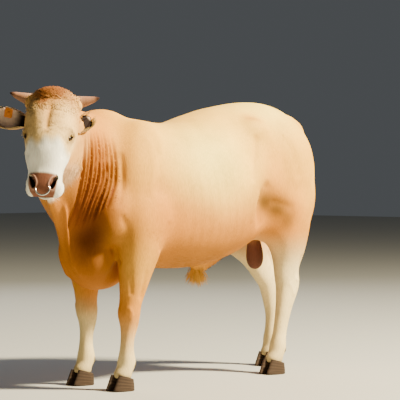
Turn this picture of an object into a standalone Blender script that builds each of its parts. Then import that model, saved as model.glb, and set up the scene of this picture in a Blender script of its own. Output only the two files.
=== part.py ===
"""A fawn beef bull with short horns and a nose ring, its head turned to its left, at life size.

Everything is in metres. +Z is up and the floor is z = 0, -Y is the way the body faces and +X is its left
side. The flesh is a set of rounded forms carried along the neck, back and legs. They are fused and smoothed
into one body, which thin cuts then part where a person would name its parts.
"""

import math
import random

import bmesh
import bpy
import numpy as np
from mathutils import Euler, Matrix, Vector
from mathutils.bvhtree import BVHTree

# Driving dimensions of the animal.
POLL = Vector((0.1285, -0.984, 1.465))  # top of the skull between the horns
HEAD_YAW = math.radians(38)
HEAD_PITCH = math.radians(59)
HEAD_ROLL = math.radians(3.5)
FRONT_STANCE = 0.180  # each fore foot from the middle
HIND_STANCE = 0.170
FRONT_STEP = {1: 0.0, -1: 0.075}  # how far behind the mean place each foot stands, left 1 and right -1
HIND_STEP = {1: 0.0, -1: 0.37}
EYE = Vector((0.0925, -0.208, -0.030))  # the left eye's centre in the head's own frame
EYE_LOOKS = Vector((0.76, -0.12, 0.62))
SLIT_ALONG = Vector((-0.45, -0.80, 0.45))  # from the outer corner to the inner one
SLIT = (0.0195, 0.0108, 0.020)  # half sizes of the opening between the lids, along it, across it and inward
EYE_RADIUS = 0.0215
LID = 0.0045  # how thick the lids are over the eye
HORN_ROOT = Vector((0.092, 0.014, -0.050))
HORN_TIP = Vector((0.222, 0.040, -0.030))
HORN_RADII = ((0, 0.034), (0.3, 0.030), (0.55, 0.0235), (0.8, 0.0150), (0.95, 0.0075), (1, 0.0030))
HORN_BOW = Vector((0, 0.012, 0.010))
EAR_ROOT = {1: Vector((0.118, -0.125, -0.095)), -1: Vector((-0.112, -0.080, -0.105))}
EAR_LENGTH = {1: 0.140, -1: 0.205}
EAR_WIDTH = {1: 0.042, -1: 0.056}  # the left one is rolled up
EAR_THICKNESS = 0.007
EAR_ARC = math.radians(100)
EAR_SHAPE = [  # share of the length, then shares of the width and of the cup's depth there
    (0, 0.50, 0.62), (0.12, 0.58, 0.62), (0.3, 0.86, 0.62), (0.5, 1, 0.49),
    (0.7, 0.90, 0.345), (0.86, 0.62, 0.225), (0.96, 0.30, 0.15), (1, 0.10, 0.12),
]
EAR_SECTIONS = 11
EAR_POINTS = 7  # points across each face of the cup
EAR_SWEEP = {1: math.radians(62), -1: math.radians(12)}  # how far back each ear is laid
EAR_LIFT = {1: math.radians(34), -1: math.radians(8)}
EAR_TURN = {1: math.radians(32), -1: 0.0}  # how far each cup is turned to face ahead
POLL_CURLS = 34
CURL_SIZES = (0.016, 0.021)
CROWN = Vector((0, -0.008, -0.018))  # the middle of the rounded top that the curls grow on
CROWN_SIZES = Vector((0.106, 0.070, 0.072))
RING_TOP = Vector((0.002, -0.450, -0.044))  # where the ring passes through the nose
RING_RADIUS = 0.034
RING_THICKNESS = 0.0042
RING_TILT = 0.50  # how far the ring stands off the lip, for each metre down
TAG_SIZE = (0.042, 0.0026, 0.048)
TAG_PLACE = (0.125, 0.004, 0.024)  # the plate's middle in the ear's own frame
TAG_PEGS = ((0.003, 0, 0.018), (0.011, 0.016, 0.0185))  # radius, start and end of the pin and of its button
CORONET_FRONT = 0.082
CORONET_SLOPE = 0.28  # how much the top of a claw falls for each metre toward its heel
CLAW_HALF_WIDTH = 0.0275
CLAW_SPACING = 0.0305  # each claw's middle from the foot's middle
CLAW_WALL = (  # share of the height, share of the width there, and its reach ahead and behind
    (0, 0.94, 0.086, 0.044), (0.05, 1, 0.090, 0.047), (0.5, 0.97, 0.070, 0.046), (1, 0.88, 0.050, 0.042),
)
CLAW_INNER = 0.86  # how much of the half width the side toward the other claw has
CLAW_POINT = 0.30  # how much of the width is lost at the toe
CLAW_TURN = 0.004  # how far each toe turns in
NOSTRIL = [  # x, y, half sizes and turn of the wide opening, then of the slit that curls out from it
    (0.049, -0.456, (0.0120, 0.0200, 0.0180), -12),
    (0.058, -0.436, (0.0075, 0.0150, 0.0120), -25),
]
MOUTH_MIDDLE = Vector((0.002, -0.390, -0.138))  # the line of the mouth runs round this point
MOUTH_REACH = 118  # degrees to each side
MOUTH_DROP = 0.010
MOUTH_DEPTH = 0.0035
GAP = 0.0003
CUT_MARGIN = 0.006
CUTS = {  # the long cuts across the body: middle, direction and reach
    "head": (Vector((0.080, -0.905, 1.20)), Vector((0.50, -0.80, 0.33)), (0.5, 0.6)),
    "neck": (Vector((0.05, -0.57, 1.05)), Vector((0.10, -0.92, 0.38)), (0.6, 0.8)),
    "tail": (Vector((0, 1.035, 1.345)), Vector((0, 0.75, -0.66)), (0.06, 0.06)),
    "forequarters": (Vector((0, -0.24, 0.9)), Vector((0, -1, 0)), (0.6, 0.8)),
    "hindquarters": (Vector((0, 0.36, 0.9)), Vector((0, 1, 0)), (0.6, 0.8)),
}
LEG_CUTS = {"front": (0.372, 0.575), "hind": (0.470, 0.690)}  # heights of the knee or hock, and of the top

# Fineness of the solids.
VOXEL = 0.0075
FORM_SMOOTHING = 4
TRUNK_SMOOTHING = 60
FIRST_TRIANGLES = 40000
HEAD_TRIANGLES = 2300
BODY_TRIANGLES = 4200
SWITCH_VOXEL = 0.0035
SWITCH_TRIANGLES = 520

SIDES = {"left": 1, "right": -1}

# Each row: x, y, z of the middle, half width, then half height above and below it.
TRUNK = [
    (0, -0.74, 0.88, 0.050, 0.06, 0.08),
    (0, -0.70, 0.90, 0.130, 0.16, 0.19),
    (0, -0.61, 0.93, 0.205, 0.32, 0.29),
    (0, -0.50, 0.96, 0.255, 0.43, 0.35),
    (0, -0.36, 0.97, 0.290, 0.415, 0.365),
    (0, -0.16, 0.95, 0.330, 0.415, 0.350),
    (0, 0.06, 0.93, 0.350, 0.455, 0.335),
    (0, 0.26, 0.95, 0.345, 0.475, 0.315),
    (0, 0.44, 1.01, 0.325, 0.462, 0.295),
    (0, 0.62, 1.07, 0.305, 0.425, 0.300),
    (0, 0.78, 1.10, 0.270, 0.380, 0.290),
    (0, 0.90, 1.11, 0.205, 0.305, 0.250),
    (0, 0.98, 1.11, 0.110, 0.225, 0.160),
    (0, 1.01, 1.12, 0.040, 0.120, 0.080),
]
NECK = [
    (0, -0.26, 0.98, 0.20, 0.36, 0.33),
    (0, -0.44, 1.03, 0.225, 0.375, 0.350),
    (0.005, -0.60, 1.09, 0.200, 0.350, 0.320),
    (0.030, -0.74, 1.15, 0.178, 0.300, 0.280),
    (0.065, -0.86, 1.21, 0.155, 0.245, 0.235),
    (0.100, -0.97, 1.26, 0.130, 0.190, 0.190),
    (0.130, -1.06, 1.28, 0.095, 0.100, 0.110),
]
DEWLAP = [
    (0.140, -1.045, 1.065, 0.020, 0.06, 0.030),
    (0.105, -0.975, 0.985, 0.026, 0.08, 0.045),
    (0.060, -0.880, 0.900, 0.032, 0.10, 0.055),
    (0.020, -0.800, 0.815, 0.038, 0.12, 0.060),
    (0.0, -0.745, 0.725, 0.050, 0.13, 0.060),
    (0.0, -0.690, 0.640, 0.070, 0.13, 0.070),
    (0.0, -0.610, 0.580, 0.090, 0.12, 0.070),
    (0.0, -0.500, 0.570, 0.095, 0.10, 0.065),
    (0.0, -0.380, 0.610, 0.080, 0.08, 0.050),
]
# Legs are measured from the left foot's place: x out from it, y behind it and z up, then the half width and
# how far they reach behind and ahead.
FORELEG = [
    (0.030, 0.050, 0.92, 0.090, 0.150, 0.130),
    (0.034, 0.045, 0.80, 0.095, 0.150, 0.130),
    (0.030, 0.035, 0.70, 0.090, 0.132, 0.118),
    (0.020, 0.022, 0.60, 0.076, 0.104, 0.100),
    (0.010, 0.012, 0.50, 0.059, 0.076, 0.074),
    (0.004, 0.004, 0.435, 0.054, 0.060, 0.062),
    (0.000, 0.000, 0.385, 0.057, 0.057, 0.064),
    (0.000, -0.002, 0.330, 0.047, 0.051, 0.050),
    (0.000, -0.014, 0.265, 0.036, 0.042, 0.036),
    (0.000, -0.020, 0.200, 0.037, 0.043, 0.038),
    (0.000, -0.022, 0.150, 0.047, 0.052, 0.045),
    (0.000, -0.034, 0.108, 0.044, 0.044, 0.042),
    (0.000, -0.048, 0.074, 0.050, 0.046, 0.052),
    (0.000, -0.050, 0.058, 0.046, 0.042, 0.048),
]
HINDLEG = [
    (0.030, 0.000, 1.00, 0.120, 0.240, 0.230),
    (0.035, 0.020, 0.88, 0.120, 0.225, 0.220),
    (0.030, 0.060, 0.77, 0.095, 0.160, 0.175),
    (0.018, 0.080, 0.67, 0.074, 0.118, 0.128),
    (0.006, 0.082, 0.57, 0.056, 0.090, 0.096),
    (0.000, 0.092, 0.490, 0.052, 0.086, 0.080),
    (0.000, 0.085, 0.440, 0.051, 0.070, 0.070),
    (0.000, 0.068, 0.375, 0.044, 0.054, 0.056),
    (0.000, 0.045, 0.290, 0.038, 0.046, 0.046),
    (0.000, 0.025, 0.210, 0.038, 0.043, 0.042),
    (0.000, 0.012, 0.155, 0.047, 0.050, 0.046),
    (0.000, -0.002, 0.110, 0.044, 0.044, 0.044),
    (0.000, -0.018, 0.074, 0.050, 0.046, 0.052),
    (0.000, -0.020, 0.058, 0.046, 0.042, 0.048),
]
FRONT_FOOT_Y = -0.50
STEP_HEIGHTS = [0, 0.29, 0.53, 0.75, 0.95]  # a step moves all of the foot, and less of the leg higher up
STEP_SHARES = [1, 0.88, 0.62, 0.26, 0]
HIND_FOOT_Y = 0.67
# The head's own frame: the poll is its origin, -Y runs down the face to the muzzle and +Z stands off the
# forehead.
SKULL = [
    (0, 0.045, -0.110, 0.060, 0.060, 0.080),
    (0, 0.015, -0.100, 0.110, 0.098, 0.120),
    (0, -0.035, -0.092, 0.130, 0.106, 0.135),
    (0, -0.095, -0.088, 0.136, 0.104, 0.145),
    (0, -0.155, -0.086, 0.132, 0.100, 0.150),
    (0, -0.215, -0.086, 0.122, 0.094, 0.150),
    (0, -0.270, -0.086, 0.110, 0.086, 0.142),
    (0.000, -0.325, -0.088, 0.096, 0.076, 0.118),
    (0.001, -0.380, -0.092, 0.086, 0.066, 0.092),
    (0.002, -0.430, -0.096, 0.086, 0.062, 0.078),
    (0.003, -0.468, -0.102, 0.080, 0.056, 0.066),
    (0.003, -0.490, -0.108, 0.056, 0.040, 0.044),
]
TAIL = [
    (0.000, 0.900, 1.385, 0.060, 0.055, 0.060),
    (0.000, 0.990, 1.375, 0.047, 0.042, 0.045),
    (0.000, 1.065, 1.325, 0.036, 0.034, 0.034),
    (-0.008, 1.100, 1.240, 0.030, 0.028, 0.028),
    (-0.024, 1.110, 1.120, 0.026, 0.025, 0.025),
    (-0.040, 1.108, 0.980, 0.023, 0.022, 0.022),
    (-0.052, 1.100, 0.850, 0.021, 0.020, 0.020),
    (-0.060, 1.092, 0.740, 0.020, 0.019, 0.019),
]
TAIL_CUT = 0.780
SWITCH_LOCKS = 9
SWITCH_CORE = ((0.02, 0.020), (-0.12, 0.024), (-0.22, 0.020), (-0.28, 0.006))  # height from the cut, radius
SWITCH_LOCK = (  # share of a lock's length, how far it stands out and its radius there
    (0, 0.006, 0.012), (0.2, 0.014, 0.014), (0.45, 0.023, 0.0155), (0.7, 0.021, 0.013),
    (0.9, 0.014, 0.008), (1, 0.009, 0.004),
)
SWITCH_TOP = 0.755
SWITCH_ENDS = (0.42, 0.50)
SCROTUM = [
    (0, 0.670, 0.860, 0.045, 0.045, 0.045),
    (0, 0.675, 0.790, 0.036, 0.038, 0.038),
    (0, 0.680, 0.730, 0.040, 0.042, 0.042),
    (0, 0.685, 0.680, 0.052, 0.052, 0.052),
    (0, 0.688, 0.625, 0.057, 0.056, 0.056),
    (0, 0.690, 0.580, 0.046, 0.046, 0.046),
    (0, 0.690, 0.556, 0.018, 0.020, 0.020),
]
SCROTUM_CUT = 0.705
SHEATH = [
    (0, 0.500, 0.740, 0.040, 0.050, 0.030),
    (0, 0.400, 0.680, 0.042, 0.050, 0.034),
    (0, 0.290, 0.628, 0.042, 0.050, 0.040),
    (0, 0.215, 0.594, 0.036, 0.046, 0.040),
    (0, 0.180, 0.566, 0.022, 0.030, 0.030),
]
DEWCLAW = ((0.022, 0.064, 0.126), (0.013, 0.013, 0.019))  # its place from the foot and its half sizes
# Each blob: centre, half sizes, turn about X, Y and Z in degrees. Paired ones are given for the left side.
TRUNK_BLOBS = [
    ((0.155, -0.440, 1.11), (0.140, 0.180, 0.270), (-14, 0, 0)),
    ((0.200, -0.420, 0.88), (0.125, 0.190, 0.190), (0, 0, 0)),
    ((0.148, 0.700, 1.12), (0.185, 0.245, 0.300), (8, 0, 0)),
    ((0.155, 0.765, 0.98), (0.150, 0.195, 0.270), (0, 0, 0)),
    ((0.165, 0.580, 0.96), (0.145, 0.215, 0.240), (0, 0, 0)),
    ((0.205, 0.420, 1.31), (0.085, 0.120, 0.090), (0, 20, 0)),
]
MIDDLE_BLOBS = [
    ((0, -0.620, 0.700), (0.150, 0.140, 0.180), (0, 0, 0)),
    ((0, -0.520, 1.315), (0.110, 0.200, 0.115), (0, 0, 0)),
    ((0.155, -0.610, 0.91), (0.105, 0.110, 0.175), (-10, 0, 0)),
    ((-0.155, -0.520, 0.91), (0.105, 0.110, 0.175), (-10, 0, 0)),
]
HEAD_BLOBS = [
    ((0.084, -0.190, -0.036), (0.044, 0.050, 0.036), (0, 0, -14)),
    ((0.070, -0.120, -0.028), (0.056, 0.080, 0.044), (0, 0, 0)),
    ((0.078, -0.160, -0.170), (0.045, 0.105, 0.080), (10, 0, 6)),
    ((0.090, -0.270, -0.080), (0.022, 0.085, 0.034), (0, 0, -8)),
    ((0.100, -0.010, -0.040), (0.046, 0.040, 0.040), (0, 0, 0)),
]
HEAD_MIDDLE_BLOBS = [
    ((0.054, -0.446, -0.076), (0.038, 0.040, 0.036), (0, 0, 0)),
    ((-0.050, -0.446, -0.076), (0.038, 0.040, 0.036), (0, 0, 0)),
    ((0.060, -0.435, -0.124), (0.036, 0.052, 0.034), (0, 0, 0)),
    ((-0.056, -0.435, -0.124), (0.036, 0.052, 0.034), (0, 0, 0)),
    (CROWN, CROWN_SIZES - Vector((0.004, 0.004, 0.006)), (0, 0, 0)),
    ((0.002, -0.456, -0.074), (0.055, 0.040, 0.034), (0, 0, 0)),
    ((0.002, -0.424, -0.166), (0.052, 0.060, 0.032), (-14, 0, 0)),
]


def head_matrix():
    """Stands the head's own frame on the neck: rolled, then pitched down, then turned to the left."""
    turn = Matrix.Rotation(HEAD_YAW, 4, "Z")
    pitch = Matrix.Rotation(HEAD_PITCH, 4, "X")
    roll = Matrix.Rotation(HEAD_ROLL, 4, "Y")
    return Matrix.Translation(POLL) @ turn @ roll @ pitch


def smooth_rows(rows, steps):
    """A smooth curve through the rows, with this many steps from each to the next."""
    rows = np.array(rows, float)
    padded = np.vstack([2 * rows[0] - rows[1], rows, 2 * rows[-1] - rows[-2]])
    t = np.linspace(0, 1, steps, endpoint=False)[:, None, None]
    a, b, c, d = padded[:-3], padded[1:-2], padded[2:-1], padded[3:]
    curve = b + 0.5 * t * (c - a + t * (2 * a - 5 * b + 4 * c - d + t * (3 * (b - c) + d - a)))
    curve = curve.transpose(1, 0, 2).reshape(-1, rows.shape[1])
    return np.vstack([curve, rows[-1]])


def add_loft(bm, rows, across=(1, 0, 0), square=2.0, ring=32, steps=5, matrix=None):
    """Adds a closed form: an oval, squarer as square grows, carried along the line through the rows."""
    curve = smooth_rows(rows, steps)
    path = curve[:, :3]
    half_width, above, below = np.maximum(curve[:, 3:6], 0.001).T
    tangent = np.gradient(path, axis=0)
    tangent /= np.linalg.norm(tangent, axis=1)[:, None]
    across = np.array(across, float) - (tangent @ np.array(across, float))[:, None] * tangent
    across /= np.linalg.norm(across, axis=1)[:, None]
    upward = np.cross(across, tangent)
    angle = np.linspace(0, 2 * math.pi, ring, endpoint=False)
    wide = np.sign(np.cos(angle)) * np.abs(np.cos(angle)) ** (2 / square)
    high = np.sign(np.sin(angle)) * np.abs(np.sin(angle)) ** (2 / square)
    height = np.where(high > 0, above[:, None], below[:, None]) * high
    points = path[:, None] + across[:, None] * (half_width[:, None] * wide)[..., None]
    points = points + upward[:, None] * height[..., None]
    matrix = matrix or Matrix.Identity(4)
    rings = [[bm.verts.new(matrix @ Vector(p)) for p in section] for section in points]
    faces = [bm.faces.new(rings[0]), bm.faces.new(rings[-1])]
    for first, second in zip(rings, rings[1:]):
        for i in range(ring):
            j = (i + 1) % ring
            faces.append(bm.faces.new((first[i], first[j], second[j], second[i])))
    bmesh.ops.recalc_face_normals(bm, faces=faces)


def add_blob(bm, centre, sizes, turn, matrix=None):
    """Adds an ellipsoid."""
    place = Matrix.LocRotScale(Vector(centre), Euler([math.radians(v) for v in turn]), Vector(sizes))
    matrix = (matrix or Matrix.Identity(4)) @ place
    bmesh.ops.create_uvsphere(bm, u_segments=24, v_segments=16, radius=1, matrix=matrix)


def add_pair(bm, centre, sizes, turn, matrix=None):
    """Adds an ellipsoid on the left and its mirror image on the right."""
    add_blob(bm, centre, sizes, turn, matrix)
    add_blob(bm, (-centre[0], *centre[1:]), sizes, (turn[0], -turn[1], -turn[2]), matrix)


def placed_leg(rows, side, stance, foot_y):
    """The leg's rows in the body's frame, on one side. It leans in from the trunk to its foot."""
    placed = []
    for x, y, z, *halves in rows:
        stepped = foot_y[0] + foot_y[1] * float(np.interp(z, STEP_HEIGHTS, STEP_SHARES))
        placed.append((side * (stance + x), stepped + y, z, *halves))
    return placed


def legs():
    """(end, side, rows) of each leg."""
    for side in SIDES.values():
        yield "front", side, placed_leg(FORELEG, side, FRONT_STANCE, (FRONT_FOOT_Y, FRONT_STEP[side]))
        yield "hind", side, placed_leg(HINDLEG, side, HIND_STANCE, (HIND_FOOT_Y, HIND_STEP[side]))


def section(body, z, x, y):
    """The middle and half sizes of the closed section nearest to x, y at this height."""
    bm = bmesh.new()
    bm.from_mesh(body.data)
    geom = bm.verts[:] + bm.edges[:] + bm.faces[:]
    cut = bmesh.ops.bisect_plane(bm, geom=geom, plane_co=(0, 0, z), plane_no=(0, 0, 1), clear_inner=True)
    edges = {element for element in cut["geom_cut"] if isinstance(element, bmesh.types.BMEdge)}
    loops = []
    while edges:
        loop = [edges.pop()]
        for edge in loop:
            for vertex in edge.verts:
                more = [other for other in vertex.link_edges if other in edges]
                edges.difference_update(more)
                loop.extend(more)
        points = np.array([vertex.co[:2] for edge in loop for vertex in edge.verts])
        loops.append((points.min(axis=0), points.max(axis=0)))
    bm.free()
    low, high = min(loops, key=lambda loop: np.hypot(*((loop[0] + loop[1]) / 2 - (x, y))))
    return (low + high) / 2, (high - low) / 2


def leg_middle(end, side, z):
    """Where a leg's rows put its middle at this height."""
    rows = next(rows for at, on, rows in legs() if (at, on) == (end, side))
    heights = [-row[2] for row in rows]
    return [float(np.interp(-z, heights, [row[i] for row in rows])) for i in (0, 1)]


def poll_curls():
    """Rounded clumps spread evenly over the crown by the golden angle: centre, size and turn of each."""
    generator = random.Random(3)
    for i in range(POLL_CURLS):
        height = 1 - 0.95 * (i + 0.5) / POLL_CURLS
        around = i * math.pi * (3 - math.sqrt(5))
        level = math.sqrt(1 - height * height)
        out = Vector((level * math.cos(around), level * math.sin(around), height))
        centre = CROWN + Vector(a * b for a, b in zip(CROWN_SIZES, out)) * 0.93
        yield centre, generator.uniform(*CURL_SIZES), (0, 0, generator.uniform(-40, 40))


def flesh_forms():
    """All the rounded forms of the flesh in one mesh, still overlapping."""
    bm = bmesh.new()
    for rows, square in ((TRUNK, 2.3), (NECK, 2.1)):
        add_loft(bm, rows, square=square)
    for rows in (DEWLAP, TAIL, SCROTUM, SHEATH):
        add_loft(bm, rows)
    for _, side, rows in legs():
        add_loft(bm, rows, square=2.2)
        foot = Vector(rows[-1][:2]).to_3d()
        for half in (1, -1):
            place, sizes = DEWCLAW
            add_blob(bm, foot + mirrored(place, half), sizes, (0, 0, 0))
    for blob in TRUNK_BLOBS:
        add_pair(bm, *blob)
    for blob in MIDDLE_BLOBS:
        add_blob(bm, *blob)
    head = head_matrix()
    add_loft(bm, SKULL, square=2.5, matrix=head)
    for centre, size, turn in poll_curls():
        add_blob(bm, centre, (size, size * 1.25, size * 0.8), turn, head)
    for blob in HEAD_BLOBS:
        add_pair(bm, *blob, matrix=head)
    for blob in HEAD_MIDDLE_BLOBS:
        add_blob(bm, *blob, matrix=head)
    return finished(bm, "forms")


def finished(bm, name):
    """A mesh of what the bmesh holds."""
    mesh = bpy.data.meshes.new(name)
    bm.to_mesh(mesh)
    bm.free()
    return mesh


def new_object(name, mesh):
    obj = bpy.data.objects.new(name, mesh)
    bpy.context.scene.collection.objects.link(obj)
    return obj


def apply_modifiers(obj):
    """Bakes the object's modifiers into its mesh."""
    graph = bpy.context.evaluated_depsgraph_get()
    mesh = bpy.data.meshes.new_from_object(obj.evaluated_get(graph))
    obj.modifiers.clear()
    obj.data = mesh


def coordinates(mesh):
    points = np.empty(len(mesh.vertices) * 3)
    mesh.vertices.foreach_get("co", points)
    return points.reshape(-1, 3)


def boolean(obj, cutter, operation="DIFFERENCE"):
    """Applies one Boolean with a cutter, which is removed."""
    modifier = obj.modifiers.new("boolean", "BOOLEAN")
    modifier.operation = operation
    modifier.solver = "EXACT"
    modifier.object = cutter
    apply_modifiers(obj)
    bpy.data.objects.remove(cutter)


def pieces(mesh):
    """The closed surfaces of a mesh as bmeshes, each with its mean point, the biggest first."""
    bm = bmesh.new()
    bm.from_mesh(mesh)
    bm.verts.ensure_lookup_table()
    label = {}
    groups = []
    for start in bm.verts:
        if start.index in label:
            continue
        group = [start]
        label[start.index] = len(groups)
        for vertex in group:
            for edge in vertex.link_edges:
                other = edge.other_vert(vertex)
                if other.index not in label:
                    label[other.index] = len(groups)
                    group.append(other)
        groups.append([vertex.index for vertex in group])
    order = sorted(range(len(groups)), key=lambda i: -len(groups[i]))
    made = []
    for i in order[:2]:
        piece = bm.copy()
        piece.verts.ensure_lookup_table()
        drop = [v for v in piece.verts if label[v.index] != i]
        bmesh.ops.delete(piece, geom=drop, context="VERTS")
        mean = sum((v.co for v in piece.verts), Vector()) / len(piece.verts)
        made.append((piece, mean))
    bm.free()
    return made


def keep_largest(obj):
    """Drops every closed surface but the largest."""
    found = pieces(obj.data)
    obj.data = finished(found[0][0], obj.name)
    for spare, _ in found[1:]:
        spare.free()


def slab(centre, normal, reach, thickness):
    """A thin box across the normal. Its reach, from its middle to its sides, is given first along X."""
    normal = Vector(normal).normalized()
    across = (Vector((1, 0, 0)) - normal * normal.x).normalized()
    turn = Matrix((across, normal.cross(across), normal)).transposed().to_quaternion()
    bm = bmesh.new()
    sizes = Vector((2 * reach[0], 2 * reach[1], thickness))
    bmesh.ops.create_cube(bm, size=1, matrix=Matrix.LocRotScale(Vector(centre), turn, sizes))
    return new_object("slab", finished(bm, "slab"))


def part_off(body, name, centre, normal, reach):
    """Parts what lies along the normal from the rest of the body, with a cut as wide as the gap."""
    boolean(body, slab(centre, normal, reach, GAP))
    along = Vector(normal)
    found = sorted(pieces(body.data), key=lambda piece: -piece[1].dot(along))
    if len(found) != 2:
        raise ValueError(f"{name}: the cut left {len(found)} pieces")
    piece = new_object(name, finished(found[0][0], name))
    body.data = finished(found[1][0], body.name)
    return piece


def reduce_to(obj, triangles, keep=None):
    """Reduces the mesh to this many triangles, sparing the vertices that keep picks."""
    obj.data.calc_loop_triangles()
    modifier = obj.modifiers.new("reduce", "DECIMATE")
    modifier.ratio = min(1.0, triangles / len(obj.data.loop_triangles))
    if keep is not None:
        group = obj.vertex_groups.new(name="free")
        group.add(np.flatnonzero(~keep).tolist(), 1.0, "REPLACE")
        modifier.vertex_group = "free"
    apply_modifiers(obj)
    obj.vertex_groups.clear()


def on_head(points):
    """Which of the points lie on the head's side of the cut behind it."""
    centre, normal, _ = CUTS["head"]
    return (points - np.array(centre)) @ np.array(normal) > 0


def build_flesh():
    """One closed body of all the flesh, fused, smoothed and reduced."""
    body = new_object("body", flesh_forms())
    fuse = body.modifiers.new("fuse", "REMESH")
    fuse.mode = "VOXEL"
    fuse.voxel_size = VOXEL
    smooth = body.modifiers.new("smooth", "SMOOTH")
    smooth.iterations = FORM_SMOOTHING
    apply_modifiers(body)
    keep_largest(body)
    points = coordinates(body.data)
    broad = body.modifiers.new("broad", "SMOOTH")
    broad.iterations = TRUNK_SMOOTHING
    group = body.vertex_groups.new(name="trunk")
    trunk = ~on_head(points) & (points[:, 2] > 0.55) & (points[:, 1] < 1.03)
    group.add(np.flatnonzero(trunk).tolist(), 1.0, "REPLACE")
    broad.vertex_group = "trunk"
    apply_modifiers(body)
    body.vertex_groups.clear()
    reduce_to(body, FIRST_TRIANGLES)
    points = coordinates(body.data)
    head = on_head(points)
    body.data.calc_loop_triangles()
    corners = np.empty(len(body.data.loop_triangles) * 3, int)
    body.data.loop_triangles.foreach_get("vertices", corners)
    head_count = int(head[corners.reshape(-1, 3)].all(axis=1).sum())
    reduce_to(body, len(corners) // 3 - head_count + HEAD_TRIANGLES, keep=~head)
    head = on_head(coordinates(body.data))
    reduce_to(body, HEAD_TRIANGLES + BODY_TRIANGLES, keep=head)
    return body


def bevel_ball(radius, centre, segments=24, rings=14, sizes=(1, 1, 1), turn=None):
    """A ball object, or an ellipsoid if sizes differ."""
    bm = bmesh.new()
    matrix = Matrix.LocRotScale(Vector(centre), turn, Vector(sizes) * radius)
    bmesh.ops.create_uvsphere(bm, u_segments=segments, v_segments=rings, radius=1, matrix=matrix)
    return new_object("ball", finished(bm, "ball"))


def mirrored(vector, side):
    return Vector((vector[0] * side, vector[1], vector[2]))


def torus(centre, across, down, radius, thickness, ring=28, tube=8):
    """A ring in the plane of its two directions."""
    around = np.linspace(0, 2 * math.pi, ring, endpoint=False)[:, None, None]
    along = np.linspace(0, 2 * math.pi, tube, endpoint=False)[None, :, None]
    across, down = np.array(across.normalized()), np.array(down.normalized())
    outward = across * np.cos(around) + down * np.sin(around)
    points = np.array(centre) + outward * (radius + thickness * np.cos(along))
    points = points + np.cross(across, down) * thickness * np.sin(along)
    i, j = np.meshgrid(np.arange(ring), np.arange(tube), indexing="ij")
    faces = np.stack([i * tube + j, (i + 1) % ring * tube + j, (i + 1) % ring * tube + (j + 1) % tube,
                      i * tube + (j + 1) % tube], axis=-1)
    mesh = bpy.data.meshes.new("ring")
    mesh.from_pydata(points.reshape(-1, 3).tolist(), [], faces.reshape(-1, 4).tolist())
    return outward_facing(new_object("ring", mesh))


def outward_facing(obj):
    bm = bmesh.new()
    bm.from_mesh(obj.data)
    bmesh.ops.recalc_face_normals(bm, faces=bm.faces)
    bm.to_mesh(obj.data)
    bm.free()
    return obj


def inflated(obj, distance):
    """A copy of the object grown by this distance along its normals."""
    copy = new_object("inflated", obj.data.copy())
    grow = copy.modifiers.new("grow", "DISPLACE")
    grow.strength = distance
    grow.mid_level = 0
    apply_modifiers(copy)
    return copy


def loft_object(name, rows, matrix=None, **options):
    bm = bmesh.new()
    add_loft(bm, rows, matrix=matrix, **options)
    return new_object(name, finished(bm, name))


def horn(side):
    """A short horn: thick at its root, curving up a little to a blunt tip."""
    rows = []
    for t, radius in HORN_RADII:
        point = HORN_ROOT.lerp(HORN_TIP, t) + HORN_BOW * (t * t - t)
        rows.append((side * point.x, point.y, point.z, radius, radius * 0.92, radius * 0.92))
    return loft_object("horn", rows, head_matrix(), across=(0, 1, 0), ring=14, steps=1)


def ear_matrix(side):
    """Stands an ear on the head: +X to its tip, +Y behind its cup, +Z to its upper edge."""
    turn = Matrix.Rotation(HEAD_YAW, 3, "Z") @ Matrix.Rotation(HEAD_ROLL, 3, "Y")
    sweep, lift = EAR_SWEEP[side], EAR_LIFT[side]
    level = Vector((side * math.cos(sweep), math.sin(sweep), 0))
    along = level * math.cos(lift) + Vector((0, 0, math.sin(lift)))
    behind = Vector((-side * math.sin(sweep), math.cos(sweep), 0)).normalized()
    above = along.cross(behind) * side
    turned = Matrix.Rotation(EAR_TURN[side] * side, 3, along)
    axes = Matrix((along, turned @ behind, turned @ above)).transposed()
    root = head_matrix() @ EAR_ROOT[side]
    return Matrix.Translation(root) @ (turn @ axes).to_4x4()


def ear(side):
    """A cupped leaf: a crescent section, widest before the middle, carried out to a rounded tip."""
    s = np.linspace(0, 1, EAR_SECTIONS)[:, None]
    share, width, cup = np.array(EAR_SHAPE).T
    half_width = EAR_WIDTH[side] * np.interp(s, share, width)
    depth = EAR_WIDTH[side] * np.interp(s, share, cup)
    thickness = EAR_THICKNESS * np.interp(s, [0, 0.5, 1], [1.3, 1, 0.5])
    angle = np.linspace(-1, 1, EAR_POINTS)[None, :] * EAR_ARC
    behind = depth * (np.cos(angle) - 0.45)
    height = half_width * np.sin(angle)
    along = np.broadcast_to(s * EAR_LENGTH[side], behind.shape)
    shrink = 1 - thickness / half_width * (0.45 + 0.4 * np.cos(angle))
    outer = np.stack([along, behind, height], axis=-1)
    hollow = behind - thickness * np.maximum(np.cos(angle), 0.25)
    inner = np.stack([along, hollow, height * shrink], axis=-1)
    loop = np.concatenate([outer, inner[:, ::-1]], axis=1)
    count = loop.shape[1]
    bm = bmesh.new()
    place = ear_matrix(side)
    rings = [[bm.verts.new(place @ Vector(point)) for point in section] for section in loop]
    bm.faces.new(rings[0])
    bm.faces.new(rings[-1])
    for first, second in zip(rings, rings[1:]):
        for i in range(count):
            j = (i + 1) % count
            bm.faces.new((first[i], first[j], second[j], second[i]))
    bmesh.ops.recalc_face_normals(bm, faces=bm.faces)
    bmesh.ops.triangulate(bm, faces=bm.faces)
    return new_object("ear", finished(bm, "ear"))


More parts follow.
